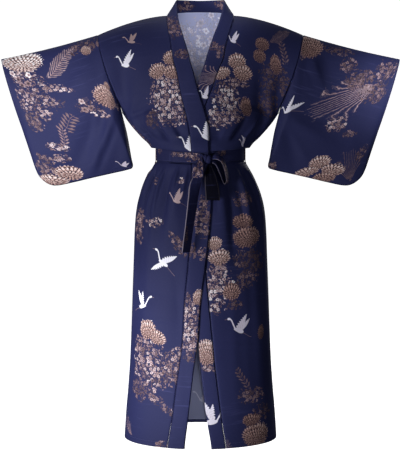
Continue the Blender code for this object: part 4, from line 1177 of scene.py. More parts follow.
FRONT_RIGHT_PRINT = print_of(
    birds=[
        (126, 62, -24, 27, 0, 1, 1), (132, 40, -22, 18, 0, 0.6), (190, 146, -28, 27, -14, 1, 3),
        (176, 198, -20, 24, 0, 0.68, 1), (164, 261, -30, 28, -26, 1, 4), (142, 302, 28, 28, 0, 1),
    ],
    mums=[
        (171, 58, 17, 15, 0, 0.6), (157, 71, 17, 15, 25, 0.6), (173, 72, 20, 14, 0, 0.58),
        (147, 330, 18, 18, 0, 0.6), (157, 337, 18, 13, -30, 0.62),
    ],
    clusters=[
        (173, 84, 22, 14, 0, 0.7), (168, 101, 40, 46, 0, 0.88), (184, 110, 14, 26, 20, 0.7),
        (153, 118, 18, 22, 0, 0.35), (173, 121, 14, 10, 0, 0.75), (181, 181, 7, 6, 0, 0.9),
        (156, 181, 7, 7, 0, 0.5), (140, 219, 14, 18, 0, 0.62), (153, 223, 18, 9, 0, 0.85),
        (139, 232, 12, 22, 0, 0.55), (178, 244, 10, 22, 35, 0.55), (142, 346, 20, 20, 0, 0.58),
        (148, 364, 34, 48, 0, 0.72), (176, 362, 40, 20, 22, 0.7), (160, 376, 40, 20, 5, 0.66),
        (185, 380, 22, 14, -30, 0.5), (138, 388, 18, 22, 0, 0.42), (154, 397, 28, 9, -35, 0.6),
        (166, 408, 16, 7, -40, 0.6), (161, 448, 14, 10, 0, 0.6),
    ],
    sprigs=[(128, 424, 12, 22, 15, 0.6)],
)
FRONT_LEFT_PRINT = print_of(
    birds=[
        (233, 39, -16, 24, -4, 0.9, 1), (243, 142, -10, 22, 0, 0.86, 1),
        (239, 327, -30, 30, -8, 0.88, 1),
    ],
    mums=[
        (237, 61, 18, 16, 0, 0.62), (222, 73, 18, 13, 20, 0.64), (243, 72, 20, 16, -10, 0.6),
        (246, 108, 13, 20, 0, 0.42), (262, 44, 14, 14, 0, 0.4), (260, 57, 13, 13, 0, 0.38),
        (276, 65, 12, 18, 0, 0.42), (243, 221, 22, 14, 0, 0.42), (248, 236, 30, 20, 0, 0.48, 1),
        (214, 244, 14, 13, 0, 0.62), (219, 257, 22, 15, 0, 0.64), (231, 292, 18, 16, 0, 0.5),
        (261, 331, 8, 14, 0, 0.36), (251, 420, 20, 12, 0, 0.42), (256, 434, 30, 22, 0, 0.52, 1),
    ],
    clusters=[
        (234, 83, 30, 10, 0, 0.62), (227, 98, 26, 34, 15, 0.96), (220, 117, 24, 22, 0, 0.92),
        (237, 115, 18, 18, 0, 0.78), (269, 80, 20, 28, 0, 0.3), (268, 104, 20, 28, 0, 0.24),
        (284, 84, 12, 24, 0, 0.3), (243, 199, 22, 14, 0, 0.42), (252, 262, 28, 26, 0, 0.3),
        (240, 259, 14, 16, 0, 0.48), (246, 279, 22, 18, 0, 0.44), (219, 270, 20, 12, 0, 0.85),
        (219, 287, 26, 30, 0, 0.96), (216, 309, 14, 11, 0, 0.8), (234, 305, 18, 8, 0, 0.35),
        (252, 396, 28, 14, 0, 0.45), (262, 412, 20, 14, 0, 0.38),
    ],
    sprigs=[
        (280, 36, 14, 30, -60, 0.44, 2), (284, 52, 14, 24, 0, 0.42, 1),
        (243, 379, 14, 26, 30, 0.4, 1), (226, 446, 12, 14, 0, 0.6),
    ],
)
HEM_LINES.append(make_front("front_right", -1, True, FRONT_RIGHT_PRINT))
HEM_LINES.append(make_front("front_left", 1, False, FRONT_LEFT_PRINT))

# ==== the sleeves ===============================================================================
# Each sleeve is one length of the cotton, folded over along its upper edge and sewn to the armhole
# and along its lower edge, with a rounded lower corner and a hemmed cuff that is left open.
ARMHOLE_AIR = 0.0006  # air between a sleeve and the body
ARMPIT_AIR = 0.0030  # and at the armpit, where both walls come into the same corner

# Rings of the bag, from the armhole to the cuff: how far along the upper fold a ring starts, where
# it meets the lower edge, and half the bag's depth.
Ring = namedtuple("Ring", "along x z depth")
SLEEVE = measured(
    Ring,
    (0, 232.5, -296, 48),
    (0.045, 220, -360, 47),
    (0.09, 208.5, -425, 45),
    (0.125, 204, -452, 44),
    (0.175, 220, -460.5, 43),
    (0.29, 270, -472, 42),
    (0.43, 325, -484.5, 40),
    (0.57, 380, -497.5, 38),
    (0.69, 427, -507, 36),
    (0.76, 453, -504, 35),
    (0.82, 476, -488, 34),
    (0.87, 491.5, -464, 33),
    (0.935, 510, -410, 32),
    (1, 529, -352, 31),
)
CUFF_TOP = (0.5965, 0.0, -0.1310)  # where the upper fold meets the cuff
SLEEVE_SAG = 0.004  # how far the upper fold hangs below a straight line
SLEEVE_FULL = 0.60  # below 1, the bag is deepest above its middle
SLEEVE_FLAT = 0.8  # below 1, its layers are flatter than an arch
LOWER_COARSER = 0.70  # rows may lie further apart along the lower edge than along the fold
ARMHOLE_ROWS = (36, 50)  # an armhole's points above the first section, and from there down
ARMPIT_START = 0.7  # share of the armhole's height at which the armpit's air starts
ARMHOLE_FADE = 0.30  # share of the sleeve over which the armhole's shape dies out

# Folds of the sleeves, in the sleeve's own plane. A fold pushes both layers forwards, and a crease
# pushes one layer out: 1 in front and -1 behind.
SleeveFold = namedtuple("SleeveFold", "x z to_x to_z width push layer", defaults=(0,))
SLEEVE_FOLDS = {
    -1: measured(
        SleeveFold,
        (245, -270, 345, -520, 26, 9), (262, -250, 415, -530, 28, -8.5),
        (300, -110, 420, -380, 40, 6), (360, -100, 520, -400, 50, -5),
        (225, -330, 262, -500, 22, -5), (232, -295, 318, -490, 10, -7.5, 1),
        (250, -285, 336, -480, 8, 4, 1), (262, -110, 278, -235, 8, -4, 1),
        (300, -235, 330, -470, 10, 3, 1), (285, -260, 300, -470, 8, -3, 1),
        (240, -200, 420, -290, 12, 2.2, 1), (345, -170, 500, -330, 16, 2.2, 1),
        (420, -300, 560, -345, 12, -1.6, 1), (290, -440, 450, -475, 10, 1.6, 1),
        (255, -150, 300, -260, 10, -2.6, 1), (470, -200, 520, -420, 18, 2, 1),
        (250, -230, 400, -420, 14, 3, -1), (330, -140, 460, -400, 16, -2.6, -1),
        (230, -330, 330, -490, 12, 2.4, -1), (440, -160, 530, -380, 18, 2, -1),
    ),
    1: measured(
        SleeveFold,
        (245, -275, 440, -335, 24, -7.5), (245, -290, 420, -400, 26, 8),
        (238, -300, 300, -500, 24, -7), (310, -90, 350, -240, 24, 6),
        (360, -110, 400, -250, 28, -6), (470, -140, 440, -480, 45, 4.5),
        (262, -270, 450, -318, 9, 2.8, 1), (255, -290, 420, -380, 10, -2.6, 1),
        (245, -310, 340, -470, 10, 2.6, 1), (330, -130, 375, -250, 8, 2.2, 1),
        (360, -250, 560, -290, 12, 1.8, 1), (310, -150, 345, -240, 7, -2, 1),
        (470, -260, 440, -470, 16, 2, 1), (250, -240, 420, -400, 14, 3, -1),
        (320, -150, 470, -380, 16, -2.4, -1), (235, -340, 340, -490, 12, 2.4, -1),
        (450, -170, 520, -400, 18, 2, -1),
    ),
}


def armhole(side, half):
    """The armhole's edge from the shoulder line to the armpit: half is -1 in front, 1 behind."""
    yoke = front_yoke if half < 0 else back_yoke
    one, edge = np.array((1.0,)), np.array((float(side),))
    above, below = ARMHOLE_ROWS
    points = [yoke(edge, one, row / above)[0] for row in range(above)]
    for place in np.linspace(0.0, ARMPIT, below):
        points.append(section_point(smooth_row(BODY, place), side * (90.0 + half * BEHIND)))
    return np.array(points)


def sleeve_push(side, half, x, z):
    """How far the sleeve's folds push a layer forwards."""
    push = np.zeros_like(x)
    for fold in SLEEVE_FOLDS[side]:
        if fold.layer in (0, -half):
            way = fold.to_x - fold.x, fold.to_z - fold.z
            share = bar(np.abs(x) - fold.x, z - fold.z, *way, fold.width)
            push += fold.push * share * (fold.layer or 1)
    return push


def sleeve_places():
    """Places of the sleeve's rows, by how far its rings lie apart at their lower edge."""
    places = []
    for number, (inner, outer) in enumerate(zip(SLEEVE, SLEEVE[1:])):
        low = math.hypot(outer.x - inner.x, outer.z - inner.z)
        high = (outer.along - inner.along) * (CUFF_TOP[0] - SHOULDER_HALF)
        count = math.ceil(max(high, low * LOWER_COARSER) / STEP)
        places += [number + step / count for step in range(count)]
    return places + [len(SLEEVE) - 1.0]


def make_sleeve(name, side, motifs, behind):
    """One sleeve, a bag folded along its upper edge, and its cuff's line of stitches."""
    edges = {half: armhole(side, half) for half in (-1, 1)}
    top, bottom = edges[-1][0], edges[-1][-1]
    cuff = np.array((side * CUFF_TOP[0], 0.0, CUFF_TOP[2]))
    rows = []
    for place in sleeve_places():
        ring = smooth_row(SLEEVE, place)
        start = top + (cuff - top) * ring.along
        start = start - (0.0, 0.0, SLEEVE_SAG * math.sin(math.pi * ring.along))
        stop = np.array((side * ring.x, 0.0, ring.z))
        blend = float(ease(1.0 - ring.along / ARMHOLE_FADE))
        layers = []
        for half in (-1, 1):
            edge = edges[half]
            down = (top[2] - edge[:, 2]) / (top[2] - bottom[2])
            straight = top + (bottom - top) * down[:, None]
            line = start + (stop - start) * down[:, None]
            line[:, 0] += (edge[:, 0] - straight[:, 0]) * blend
            swell = np.sin(math.pi * np.clip(down, 0.0, 1.0) ** SLEEVE_FULL)
            depth = ring.depth * np.clip(swell, 0.0, None) ** SLEEVE_FLAT
            line[:, 1] = half * between(depth, np.abs(edge[:, 1]), blend)
            line[:, 1] -= sleeve_push(side, half, line[:, 0], line[:, 2]) * (1.0 - blend)
            low = ease((down - ARMPIT_START) / (1.0 - ARMPIT_START))
            air = between(ARMHOLE_AIR, ARMPIT_AIR, low)
            line[:, 0] += side * air * float(ease(1.0 - place))
            layers.append(line)
        rows.append(np.concatenate((layers[0][::-1], layers[1][1:-1])))
    points = np.array(rows)
    inside = (side * 0.40, 0.0, -0.30)
    points = thickened(points, inside, closed=True)
    # the rows start and end at the lower seam, and the flat cloth runs on over the upper fold
    whole = np.concatenate((points, points[:, :1]), 1)
    around = lengths(whole, 1)
    fold = len(edges[-1]) - 1
    flat = np.stack((side * lengths(whole, 0), around - around[:, fold : fold + 1]), -1)
    points = drawn_in(points, inside, ("first_row",), closed=True)
    piece = shell(name, points, flat, inside, motifs, behind, closed=True)
    piece.data.materials.append(COTTON)
    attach(piece, "root")
    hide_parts(name)
    return hem_line(points, inside, closed=True)


SLEEVE_RIGHT_PRINT = print_of(
    mums=[
        (22, 62, 40, 22, 5, 0.8, 1), (85, 51, 10, 10, 0, 0.6), (107, 97, 26, 26, 0, 0.56, 1),
        (107, 86, 11, 9, 0, 0.52), (70, 173, 26, 16, 10, 0.64), (52, 180, 34, 12, 10, 0.66),
    ],
    clusters=[
        (26, 80, 30, 22, 0, 0.82, 1), (32, 102, 34, 38, 0, 0.7), (33, 122, 20, 20, 0, 0.5),
        (53, 88, 32, 9, 5, 0.76), (50, 105, 28, 11, 20, 0.66), (84, 46, 34, 14, 15, 0.46),
        (88, 107, 18, 17, 0, 0.7, 1), (101, 114, 14, 10, 0, 0.72, 1), (117, 107, 12, 9, 0, 0.66),
        (58, 148, 20, 9, 5, 0.8), (60, 158, 18, 9, 20, 0.7), (44, 160, 18, 12, 0, 0.44),
        (44, 170, 26, 16, 0, 0.52),
    ],
    sprigs=[
        (60, 64, 20, 46, -40, 0.66, 2), (69, 124, 26, 26, -40, 0.46, 1),
        (63, 137, 14, 24, -10, 0.56, 1),
    ],
    birds=[(124, 165, -14, 12, 0, 0.84, 1)],
)
SLEEVE_RIGHT_BACK_PRINT = print_of(
    mums=[(372, 74, 34, 22, 0, 0.6, 1), (328, 160, 26, 18, 0, 0.55)],
    clusters=[(362, 96, 34, 30, 0, 0.7), (346, 158, 30, 24, 0, 0.6)],
    sprigs=[(340, 80, 24, 34, 35, 0.5), (300, 150, 18, 30, 20, 0.45, 1)],
    birds=[(316, 112, 28, 26, 10, 1)],
)
SLEEVE_LEFT_PRINT = print_of(
    birds=[(288, 108, -34, 30, 6, 0.96, 2)],
    mums=[
        (310, 46, 26, 26, 0, 0.52, 1), (321, 162, 18, 16, 0, 0.64), (333, 170, 22, 13, -20, 0.64),
        (307, 172, 22, 11, 10, 0.64), (324, 177, 20, 12, -10, 0.52),
    ],
    clusters=[
        (303, 56, 10, 8, 0, 0.52), (338, 51, 30, 9, -12, 0.42), (350, 66, 16, 16, 0, 0.56),
        (364, 78, 30, 18, 0, 0.44), (386, 72, 22, 26, 0, 0.54), (378, 92, 30, 22, 0, 0.44),
        (337, 125, 16, 16, 0, 0.78), (349, 133, 12, 8, 0, 0.5), (272, 166, 10, 8, 0, 0.66),
        (363, 152, 14, 16, 0, 0.46),
    ],
    sprigs=[
        (342, 100, 44, 60, 112, 0.68), (356, 86, 18, 34, 140, 0.5, 2), (349, 166, 26, 40, 10, 0.4),
    ],
)
SLEEVE_LEFT_BACK_PRINT = print_of(
    clusters=[(34, 92, 34, 34, 0, 0.66), (58, 158, 30, 22, 0, 0.6)],
    mums=[(52, 78, 28, 20, 0, 0.55, 1), (84, 162, 28, 18, 0, 0.58, 1)],
    birds=[(96, 96, -28, 26, 0, 1, 1), (112, 152, 22, 20, 20, 0.9, 2)],
    sprigs=[(62, 112, 22, 34, -30, 0.5, 1)],
)
CUFF_LINES = [
    make_sleeve("sleeve_right", -1, SLEEVE_RIGHT_PRINT, SLEEVE_RIGHT_BACK_PRINT),
    make_sleeve("sleeve_left", 1, SLEEVE_LEFT_PRINT, SLEEVE_LEFT_BACK_PRINT),
]

# ==== the neckband ==============================================================================
# One long folded and interlined band of the cotton. It is sewn on from the hem of the right front,
# round the neck, where it stands up by itself, and down to the hem of the left front.
BAND_THICK = 0.0028
BAND_COLUMNS = 12
NAPE_ROWS = 30  # from the shoulder line to the nape
EDGE_SQUARE = 8  # the higher, the less round are the edges of folded cloth
PLY = 0.0004  # air between two pieces that lie on each other

# The free edge of the standing part, from the chest (0) over the shoulder line (1) to the nape (2).
CollarEdge = namedtuple("CollarEdge", "place over under")
COLLAR = (
    CollarEdge(0.00, None, None),
    CollarEdge(0.30, (-0.0485, -0.0835, -0.0745), (0.0375, -0.0855, -0.0700)),
    CollarEdge(0.65, (-0.0630, -0.0560, -0.0230), (0.0550, -0.0570, -0.0220)),
    CollarEdge(1.00, (-0.0695, -0.0130, 0.0310), (0.0675, -0.0130, 0.0310)),
    CollarEdge(1.22, (-0.0700, 0.0100, 0.0490), (0.0695, 0.0100, 0.0490)),
    CollarEdge(1.50, (-0.0600, 0.0270, 0.0515), (0.0600, 0.0270, 0.0515)),
    CollarEdge(2.00, (0.0, 0.0420, 0.0517), (0.0, 0.0420, 0.0517)),
)


def collar_station(side, place):
    """The neckband's seam and free edge at a place from the chest (0) to the nape (2)."""
    if place <= 1.0:
        seam = front_yoke(side, 0.0, 1.0 - place)
        normal = yoke_normal(front_yoke, side, 0.0, max(0.02, 1.0 - place))
    else:
        share = CORNER * (2.0 - place)
        seam = back_yoke(side, share, 0.0)
        normal = yoke_normal(back_yoke, side, min(share, CORNER * 0.98), 0.02)
    rise = float(ease(place / (1.0 - BAND_RISES)))
    seam = seam + np.ravel(normal) * (WALL + PLY) * rise
    over = side < 0
    chest_x = FRONT_EDGES[0].over_free if over else FRONT_EDGES[0].under_free
    points = [front_point(np.array(chest_x), 0.0, over=over)]
    points += [np.array(row.over if over else row.under) for row in COLLAR[1:]]
    spot = place_at(COLLAR, "place", place)
    first = min(len(points) - 2, int(spot))
    before = points[first - 1] if first else points[0] * 2 - points[1]
    after = points[first + 2] if first + 2 < len(points) else points[first] * (-1.0, 1.0, 1.0)
    leave = (points[first + 1] - before) * 0.5
    arrive = (after - points[first]) * 0.5
    return seam, hermite(points[first], leave, points[first + 1], arrive, spot - first)


def band_half(side):
    """Rows of one half of the neckband, from the hem to the nape."""
    over = side < 0
    share = np.linspace(0.0, 1.0, BAND_COLUMNS + 1)
    rows = []
    for place in reversed(body_places()):
        edges = front_edge(smooth_row(BODY, place).z)
        seam, free = edges[1:3] if over else edges[3:5]
        rows.append(front_point(between(seam, free, share), place, over=over))
    chest_to_shoulder = [1.0 - t for t in reversed(YOKE_STEPS)]
    shoulder_to_nape = np.linspace(1.0, 2.0, NAPE_ROWS + 1)[1:]
    for place in [*chest_to_shoulder, *shoulder_to_nape]:
        seam, free = collar_station(side, float(place))
        rows.append(seam + (free - seam) * share[:, None])
    return rows


def folded(name, base, inside, thickness, motifs=(), behind=(), loop=False, middle=None, worn=()):
    """Cloth folded flat, with round edges, from a grid of its inner face's points.

    loop closes the rows into a ring. middle names the grid point whose side is checked. The last
    argument holds a painted highlight: how much paler the first edge and the last edge are drawn, where
    the folded cloth catches the light."""
    if loop:
        around = np.concatenate((base[-1:], base, base[:1]))
        normals = surface_normals(around)[1:-1]
    else:
        normals = surface_normals(base)
    rows, columns = base.shape[:2]
    spot = middle or (rows // 2, columns // 2)
    if np.dot(normals[spot], base[spot] - np.array(inside)) < 0:
        normals = -normals
    share = np.linspace(-1.0, 1.0, columns)
    half = thickness / 2 * np.sqrt(np.clip(1.0 - share**EDGE_SQUARE, 0.0, None))
    outer = base + normals * (thickness / 2 + half)[:, None]
    inner = base + normals * (thickness / 2 - half)[:, None]
    points = np.concatenate((outer, inner[:, -2:0:-1]), 1)
    whole = np.concatenate((points, points[:, :1]), 1)
    sides = np.concatenate((normals, -normals[:, -2:0:-1], normals[:, :1]), 1)
    if loop:
        whole, sides = (np.concatenate((part, part[:1])) for part in (whole, sides))
    along = lengths(whole, 0).mean(1, keepdims=True)
    flat = np.stack(np.broadcast_arrays(lengths(whole, 1), -along), -1)
    faces, places = grid_faces(points.shape[0], points.shape[1], loop, True)
    if not loop:  # both ends are closed
        for row, end in ((0, False), (rows - 1, True)):
            a = np.arange(columns - 1)
            b = (2 * columns - 2 - a) % points.shape[1]
            cap = np.stack((a, a + 1, (b - 1) % points.shape[1], b), -1)
            cap = cap if end else cap[:, ::-1]
            places = np.concatenate((places, cap + row * whole.shape[1]))
            faces = np.concatenate((faces, cap + row * points.shape[1]))
    corners = flat.reshape(-1, 2)[places]
    grid = points.reshape(-1, 3)
    wrong = np.zeros(len(faces))
    piece = cloth_piece(name, grid, faces, corners, wrong, whole, sides, flat, motifs, behind)
    # the painted highlight: faces along the first and the last edge are drawn paler, where the folded
    # cloth catches the light
    if worn:
        pale = np.zeros(len(faces), np.float32)
        column = faces.min(1) % points.shape[1]
        pale[(column == 0) | (column == points.shape[1] - 1)] = worn[0]
        pale[(column == columns - 2) | (column == columns - 1)] = worn[1]
        marks = piece.data.attributes.new("worn_edge", "FLOAT", "FACE")
        marks.data.foreach_set("value", pale)
    turned_out(piece)
    return piece


def turned_out(piece, merge=0.0):
    """Turns a closed mesh's faces outwards, after its points nearer than merge are made one."""
    shape = bmesh.new()
    shape.from_mesh(piece.data)
    if merge:
        bmesh.ops.remove_doubles(shape, verts=shape.verts, dist=merge)
    bmesh.ops.recalc_face_normals(shape, faces=shape.faces)
    shape.to_mesh(piece.data)
    shape.free()


def make_neckband():
    """The whole band, and the lines of stitches beside both its edges."""
    base = np.array(band_half(-1) + band_half(1)[-2::-1])
    inside = (0.0, 0.0, -0.02)
    middle = (len(base) // 2, BAND_COLUMNS // 2)
    piece = folded("neckband", base, inside, BAND_THICK, NECKBAND_PRINT, middle=middle)
    piece.data.materials.append(COTTON)
    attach(piece, "root")
    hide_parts("neckband")
    normals = facing_out(base, inside)
    return [base[:, c] + normals[:, c] * (BAND_THICK + THREAD_OUT) for c in (1, BAND_COLUMNS - 1)]


NECKBAND_PRINT = print_of(
    clusters=[
        (185, 6, 18, 11, 0, 0.46), (220, 4, 12, 10, 0, 0.46), (173, 27, 18, 26, 15, 0.5),
        (182, 54, 16, 9, 0, 0.4), (213, 46, 14, 9, 0, 0.5), (220, 52, 10, 14, 0, 0.48),
        (204, 203, 10, 16, 0, 0.62), (203, 218, 20, 18, 0, 0.6), (203, 233, 14, 10, 0, 0.56),
        (192, 250, 8, 14, 0, 0.42), (202, 254, 9, 12, 0, 0.62), (187, 300, 6, 12, 0, 0.42),
        (193, 312, 18, 18, 0, 0.74), (193, 335, 20, 44, 0, 0.8), (209, 369, 14, 7, 0, 0.66),
        (190, 356, 14, 12, 0, 0.5),
    ],
    sprigs=[(206, 77, 26, 28, 80, 0.66)],
    birds=[
        (206, 95, -18, 20, -10, 0.94, 3), (207, 135, -30, 28, -8, 1, 3),
        (211, 418, 32, 34, 0, 0.92),
    ],
    mums=[(199, 298, 11, 15, 0, 0.62), (206, 353, 22, 24, 0, 0.62, 1)],
)
BAND_LINES = make_neckband()

# ==== the belt and its carriers =================================================================
# A sash of the same cotton, sewn double, goes once round the waist and narrows into the knot. Two
# narrow strips on the side seams hold it up. They are sewn on at both ends.
BELT_THICK = 0.0018
BELT_TOP = -0.3945  # at the side
BELT_BOTTOM = -0.4335
BELT_SAG = 0.0075  # how much lower the belt lies at the middle of the front
BELT_BACK_OUT = 0.0040  # belt's inner face off the body's, at the sides and the back
BELT_FRONT_OUT = 0.0086  # and where both fronts and their bands lie beneath it
BELT_STEP_LEFT = (0.032, 0.078)  # where the belt comes in again at the wearer's left
BELT_STEP_RIGHT = (-0.064, -0.112)  # and at the right
BELT_ROWS, BELT_COLUMNS = 220, 12
KNOT = np.array((0.0195, -0.1188, -0.4300))
GATHER = 0.026  # the belt narrows over this length beside the knot
GATHER_HALF = 0.0105  # to this half width
BELT_CREASE = 0.0009  # depth of the creases that run together at the knot
CREASE_REACH = 2.2  # how many times GATHER they reach
CREASE_TURN = 15.0  # their waves across the belt, in radians
BELT_WAVE = 0.0004  # depth of the slight waves elsewhere
BELT_WAVES = 7.0  # round the waist
CARRIER_WIDTH = 0.008
CARRIER_ANGLE = 79
CARRIER_COLUMNS, CARRIER_ROWS, CARRIER_END_ROWS = 7, 12, 3
CARRIER_SPAN = (-0.3985, -0.4345, -0.4420)  # top, under the belt, and end on the skirt
CARRIER_CLEAR = 0.0014  # air between the carrier's end and the skirt


def level_outward(section, angle):
    """The level directions that point out of a section."""
    turn = 1.5
    run = section_point(section, angle + turn) - section_point(section, angle - turn)
    return unit(np.stack((run[..., 1], -run[..., 0], np.zeros_like(run[..., 0])), -1))


def belt_out(x, front):
    """How far the belt's inner face lies off the body's."""
    near, far = np.where(x[:, None] > 0, BELT_STEP_LEFT, BELT_STEP_RIGHT).T
    step = between(BELT_FRONT_OUT, BELT_BACK_OUT, ease((x - near) / (far - near)))
    return np.where(front, step, BELT_BACK_OUT)


def make_belt():
    """The belt round the waist, and the lines of stitches beside both its edges."""
    section = smooth_row(BODY, BELT_SECTION)
    angle = 360.0 * np.arange(BELT_ROWS) / BELT_ROWS - 180.0
    point = section_point(section, angle)
    front = np.abs(angle) < 90.0
    way = level_outward(section, angle)
    point = point + way * belt_out(point[:, 0], front)[:, None]
    sag = BELT_SAG * np.cos(np.radians(angle)) ** 2 * front
    beside = (point[:, 0] - KNOT[0]) / GATHER
    pull = np.exp(-(beside**2)) * front
    top = between(BELT_TOP - sag, KNOT[2] + GATHER_HALF, pull)
    bottom = between(BELT_BOTTOM - sag, KNOT[2] - GATHER_HALF, pull)
    share = np.linspace(0.0, 1.0, BELT_COLUMNS + 1)
    height = top[:, None] + (bottom - top)[:, None] * share
    base = np.repeat(point[:, None], BELT_COLUMNS + 1, 1)
    base[..., 2] = height
    near = np.exp(-((beside / CREASE_REACH) ** 2)) * front
    crease = BELT_CREASE * np.sin(share * CREASE_TURN)[None] * near[:, None]
    around = np.sin(np.radians(angle * BELT_WAVES))[:, None]
    wave = BELT_WAVE * around * np.sin(share * math.pi)[None]
    base = base + way[:, None] * (crease + wave)[..., None]
    inside = (0.0, 0.0, BELT_TOP)
    piece = folded("belt", base, inside, BELT_THICK, BELT_PRINT, loop=True)
    piece.data.materials.append(BELT_COTTON)
    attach(piece, "root")
    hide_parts("belt")
    outer = base + way[:, None] * (BELT_THICK + THREAD_OUT)
    return piece, [np.concatenate((outer[:, c], outer[:1, c])) for c in (1, BELT_COLUMNS - 1)]


def make_carrier(name, side):
    """A narrow strip on the side seam that holds the belt up."""
    section = smooth_row(BODY, BELT_SECTION)
    spread = math.degrees(CARRIER_WIDTH / 2 / section.half)
    turns = side * (CARRIER_ANGLE + np.linspace(-spread, spread, CARRIER_COLUMNS))
    top, under, end = CARRIER_SPAN
    base = section_point(section, turns)
    base = base + level_outward(section, turns) * (BELT_BACK_OUT + BELT_THICK + PLY)
    first = BELT_SECTION + 1
    skirt_place = first + place_at(BODY[first:], "z", end)
    skirt = body_point(turns, skirt_place, WALL + CARRIER_CLEAR)
    rows = []
    for height in np.linspace(top, under, CARRIER_ROWS):
        rows.append(np.concatenate((base[:, :2], np.full_like(base[:, :1], height)), 1))
    lowest = rows[-1]
    for step in np.linspace(0.0, 1.0, CARRIER_END_ROWS + 1)[1:]:
        row = between(lowest, skirt, step)
        row[:, 2] = between(under, end, step)
        rows.append(row)
    piece = folded(name, np.array(rows), (0.0, 0.0, BELT_TOP), WALL)
    piece.data.materials.append(CARRIER_COTTON)
    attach(piece, "root")
    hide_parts(name)


BELT_PRINT = print_of(
    clusters=[
        (178, 152, 18, 9, 0, 0.6), (193, 156, 16, 9, 0, 0.62), (160, 150, 7, 8, 0, 0.45),
        (222, 152, 10, 8, 0, 0.4),
    ],
)
BELT_COTTON = printed_cotton("belt_cotton", ground=paint(32, 35, 76))
CARRIER_COTTON = printed_cotton("carrier_cotton", ground=paint(104, 74, 66))
BELT, BELT_LINES = make_belt()
make_carrier("belt_carrier_right", -1)
make_carrier("belt_carrier_left", 1)

# ==== the knot and the bow ======================================================================
# The ends of the sash are tied in front, a little to the wearer's left, in a flat bow: the knot is
# cloth wound twice round itself, with a loop and a hanging end on each side of it.
KNOT_HALF = np.array((0.0135, 0.0137, 0.0145))
KNOT_SQUARE = 0.8  # 1 is a ball, and less is boxier
KNOT_CELLS = 18  # along each edge of the cube that it is rounded from
KNOT_FOLD = 0.20  # depth of its upright fold, as a share of its own
KNOT_WOUND = 0.05  # and of the grooves between its turns

# Places along the middle of a ribbon, and the way straight across it there, edge to edge.
Station = namedtuple("Station", "x y z across_x across_y across_z")
RIBBONS = {
    "bow_loop_right": measured(
        Station,
        (5.4, -124, -430, 0, 0, 10), (-2, -131, -434, 12, 0, 12), (-5, -140.5, -448, 26, 6, 6),
        (-6.8, -144, -465, 32, 5, 2), (-7.8, -143, -478, 34, 4, 0), (-8, -139.5, -482, 34, 4, 0),
        (-7.6, -136, -478, 33, 4, 0), (-6, -133, -466, 29, 4, 2), (-3, -130, -453, 20, 3, 4),
        (5.8, -125.5, -441.5, 5, 2, 4),
    ),
    "bow_loop_left": measured(
        Station,
        (34.2, -120.5, -425.5, 0, 6, 9), (43, -122.5, -422.5, 2, 12, 14),
        (55, -123, -426, 6, 22, 12), (66, -121.5, -438, 9, 31, 6), (74, -119, -460, 10, 35, 2),
        (78.5, -118, -486, 10, 36, 0), (75.5, -118, -500, 10, 36, 0), (69, -118, -496, 10, 36, 0),
        (61, -120, -476, 9, 34, 0), (52, -121.5, -456, 7, 26, 2), (43, -121.5, -442, 3, 14, 6),
        (33.8, -121, -436.5, 0, 6, 8),
    ),
    "tail_right": measured(
        Station,
        (12.5, -121.5, -445.1, 9, 1, 0), (4, -123.5, -458, 18, 2, 3), (-6, -126.5, -476, 29, 5, 6),
        (-15, -134.5, -502, 33, 18, 4), (-20, -141.5, -535, 30, 28, 2),
        (-25, -145, -575, 27, 32, 0), (-30.5, -147.5, -615, 25, 33, 0),
        (-36, -149.5, -655, 24, 34, 0), (-41, -151, -695, 23, 34, 0),
    ),
    "tail_left": measured(
        Station,
        (25, -121, -445.1, 9, -1, 0), (27, -123, -462, 21, -2, 0), (29, -126, -483, 34, -5, 0),
        (32.5, -130, -508, 40, -7, 0), (34.5, -132.5, -531, 41, -7, 0),
        (35.5, -134, -548, 41, -6, 0),
    ),
}
RIBBON_COLUMNS = 14
RIBBON_STEPS = 7  # rows from one station to the next
RIBBON_GATHER = 0.0010  # depth of a ribbon's creases beside the knot
RIBBON_GATHER_RUN = 0.045  # over this length
RIBBON_GATHER_TURN = 17.0  # their waves across the ribbon, in radians
RIBBON_CUP = 0.0012  # how far its edges lie behind its middle


def make_knot():
    """The knot: a cube's grid, rounded, and grooved by its fold and its turns."""
    lines = np.tan(np.linspace(-1.0, 1.0, KNOT_CELLS + 1) * math.pi / 4)
    u, v = np.meshgrid(lines, lines, indexing="ij")
    quads, _ = grid_faces(KNOT_CELLS + 1, KNOT_CELLS + 1, False, False)
    cube = []
    for axis in range(3):
        for way in (-1.0, 1.0):
            side = np.roll(np.stack((np.full_like(u, way), u, v), -1), axis, -1)
            cube.append(side.reshape(-1, 3))
    faces = np.concatenate([quads + number * u.size for number in range(len(cube))])
    ball = unit(np.concatenate(cube))
    shape = np.copysign(np.abs(ball) ** KNOT_SQUARE, ball)
    # a deep upright fold in front, and the edges of the cloth that is wound round
    fold = np.exp(-(((ball[:, 0] + 0.12 - 0.25 * ball[:, 2]) / 0.13) ** 2)) * (ball[:, 1] < 0)
    wound = np.sin(ball[:, 2] * 7.5 + ball[:, 0] * 3.0 + ball[:, 1] * 1.4) ** 2
    shape = shape * (1.0 - KNOT_FOLD * fold - KNOT_WOUND * wound)[:, None]
    grid = shape * KNOT_HALF + KNOT
    flat = np.stack((grid[:, 0] + grid[:, 1] * 0.6, grid[:, 2]), -1)
    wrong = np.zeros(len(faces))
    piece = cloth_piece("knot", grid, faces, flat[faces], wrong, grid, ball, flat, (), ())
    turned_out(piece, merge=1e-6)
    piece.data.materials.append(BELT_COTTON)
    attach(piece, "root")
    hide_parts("knot")
    return piece


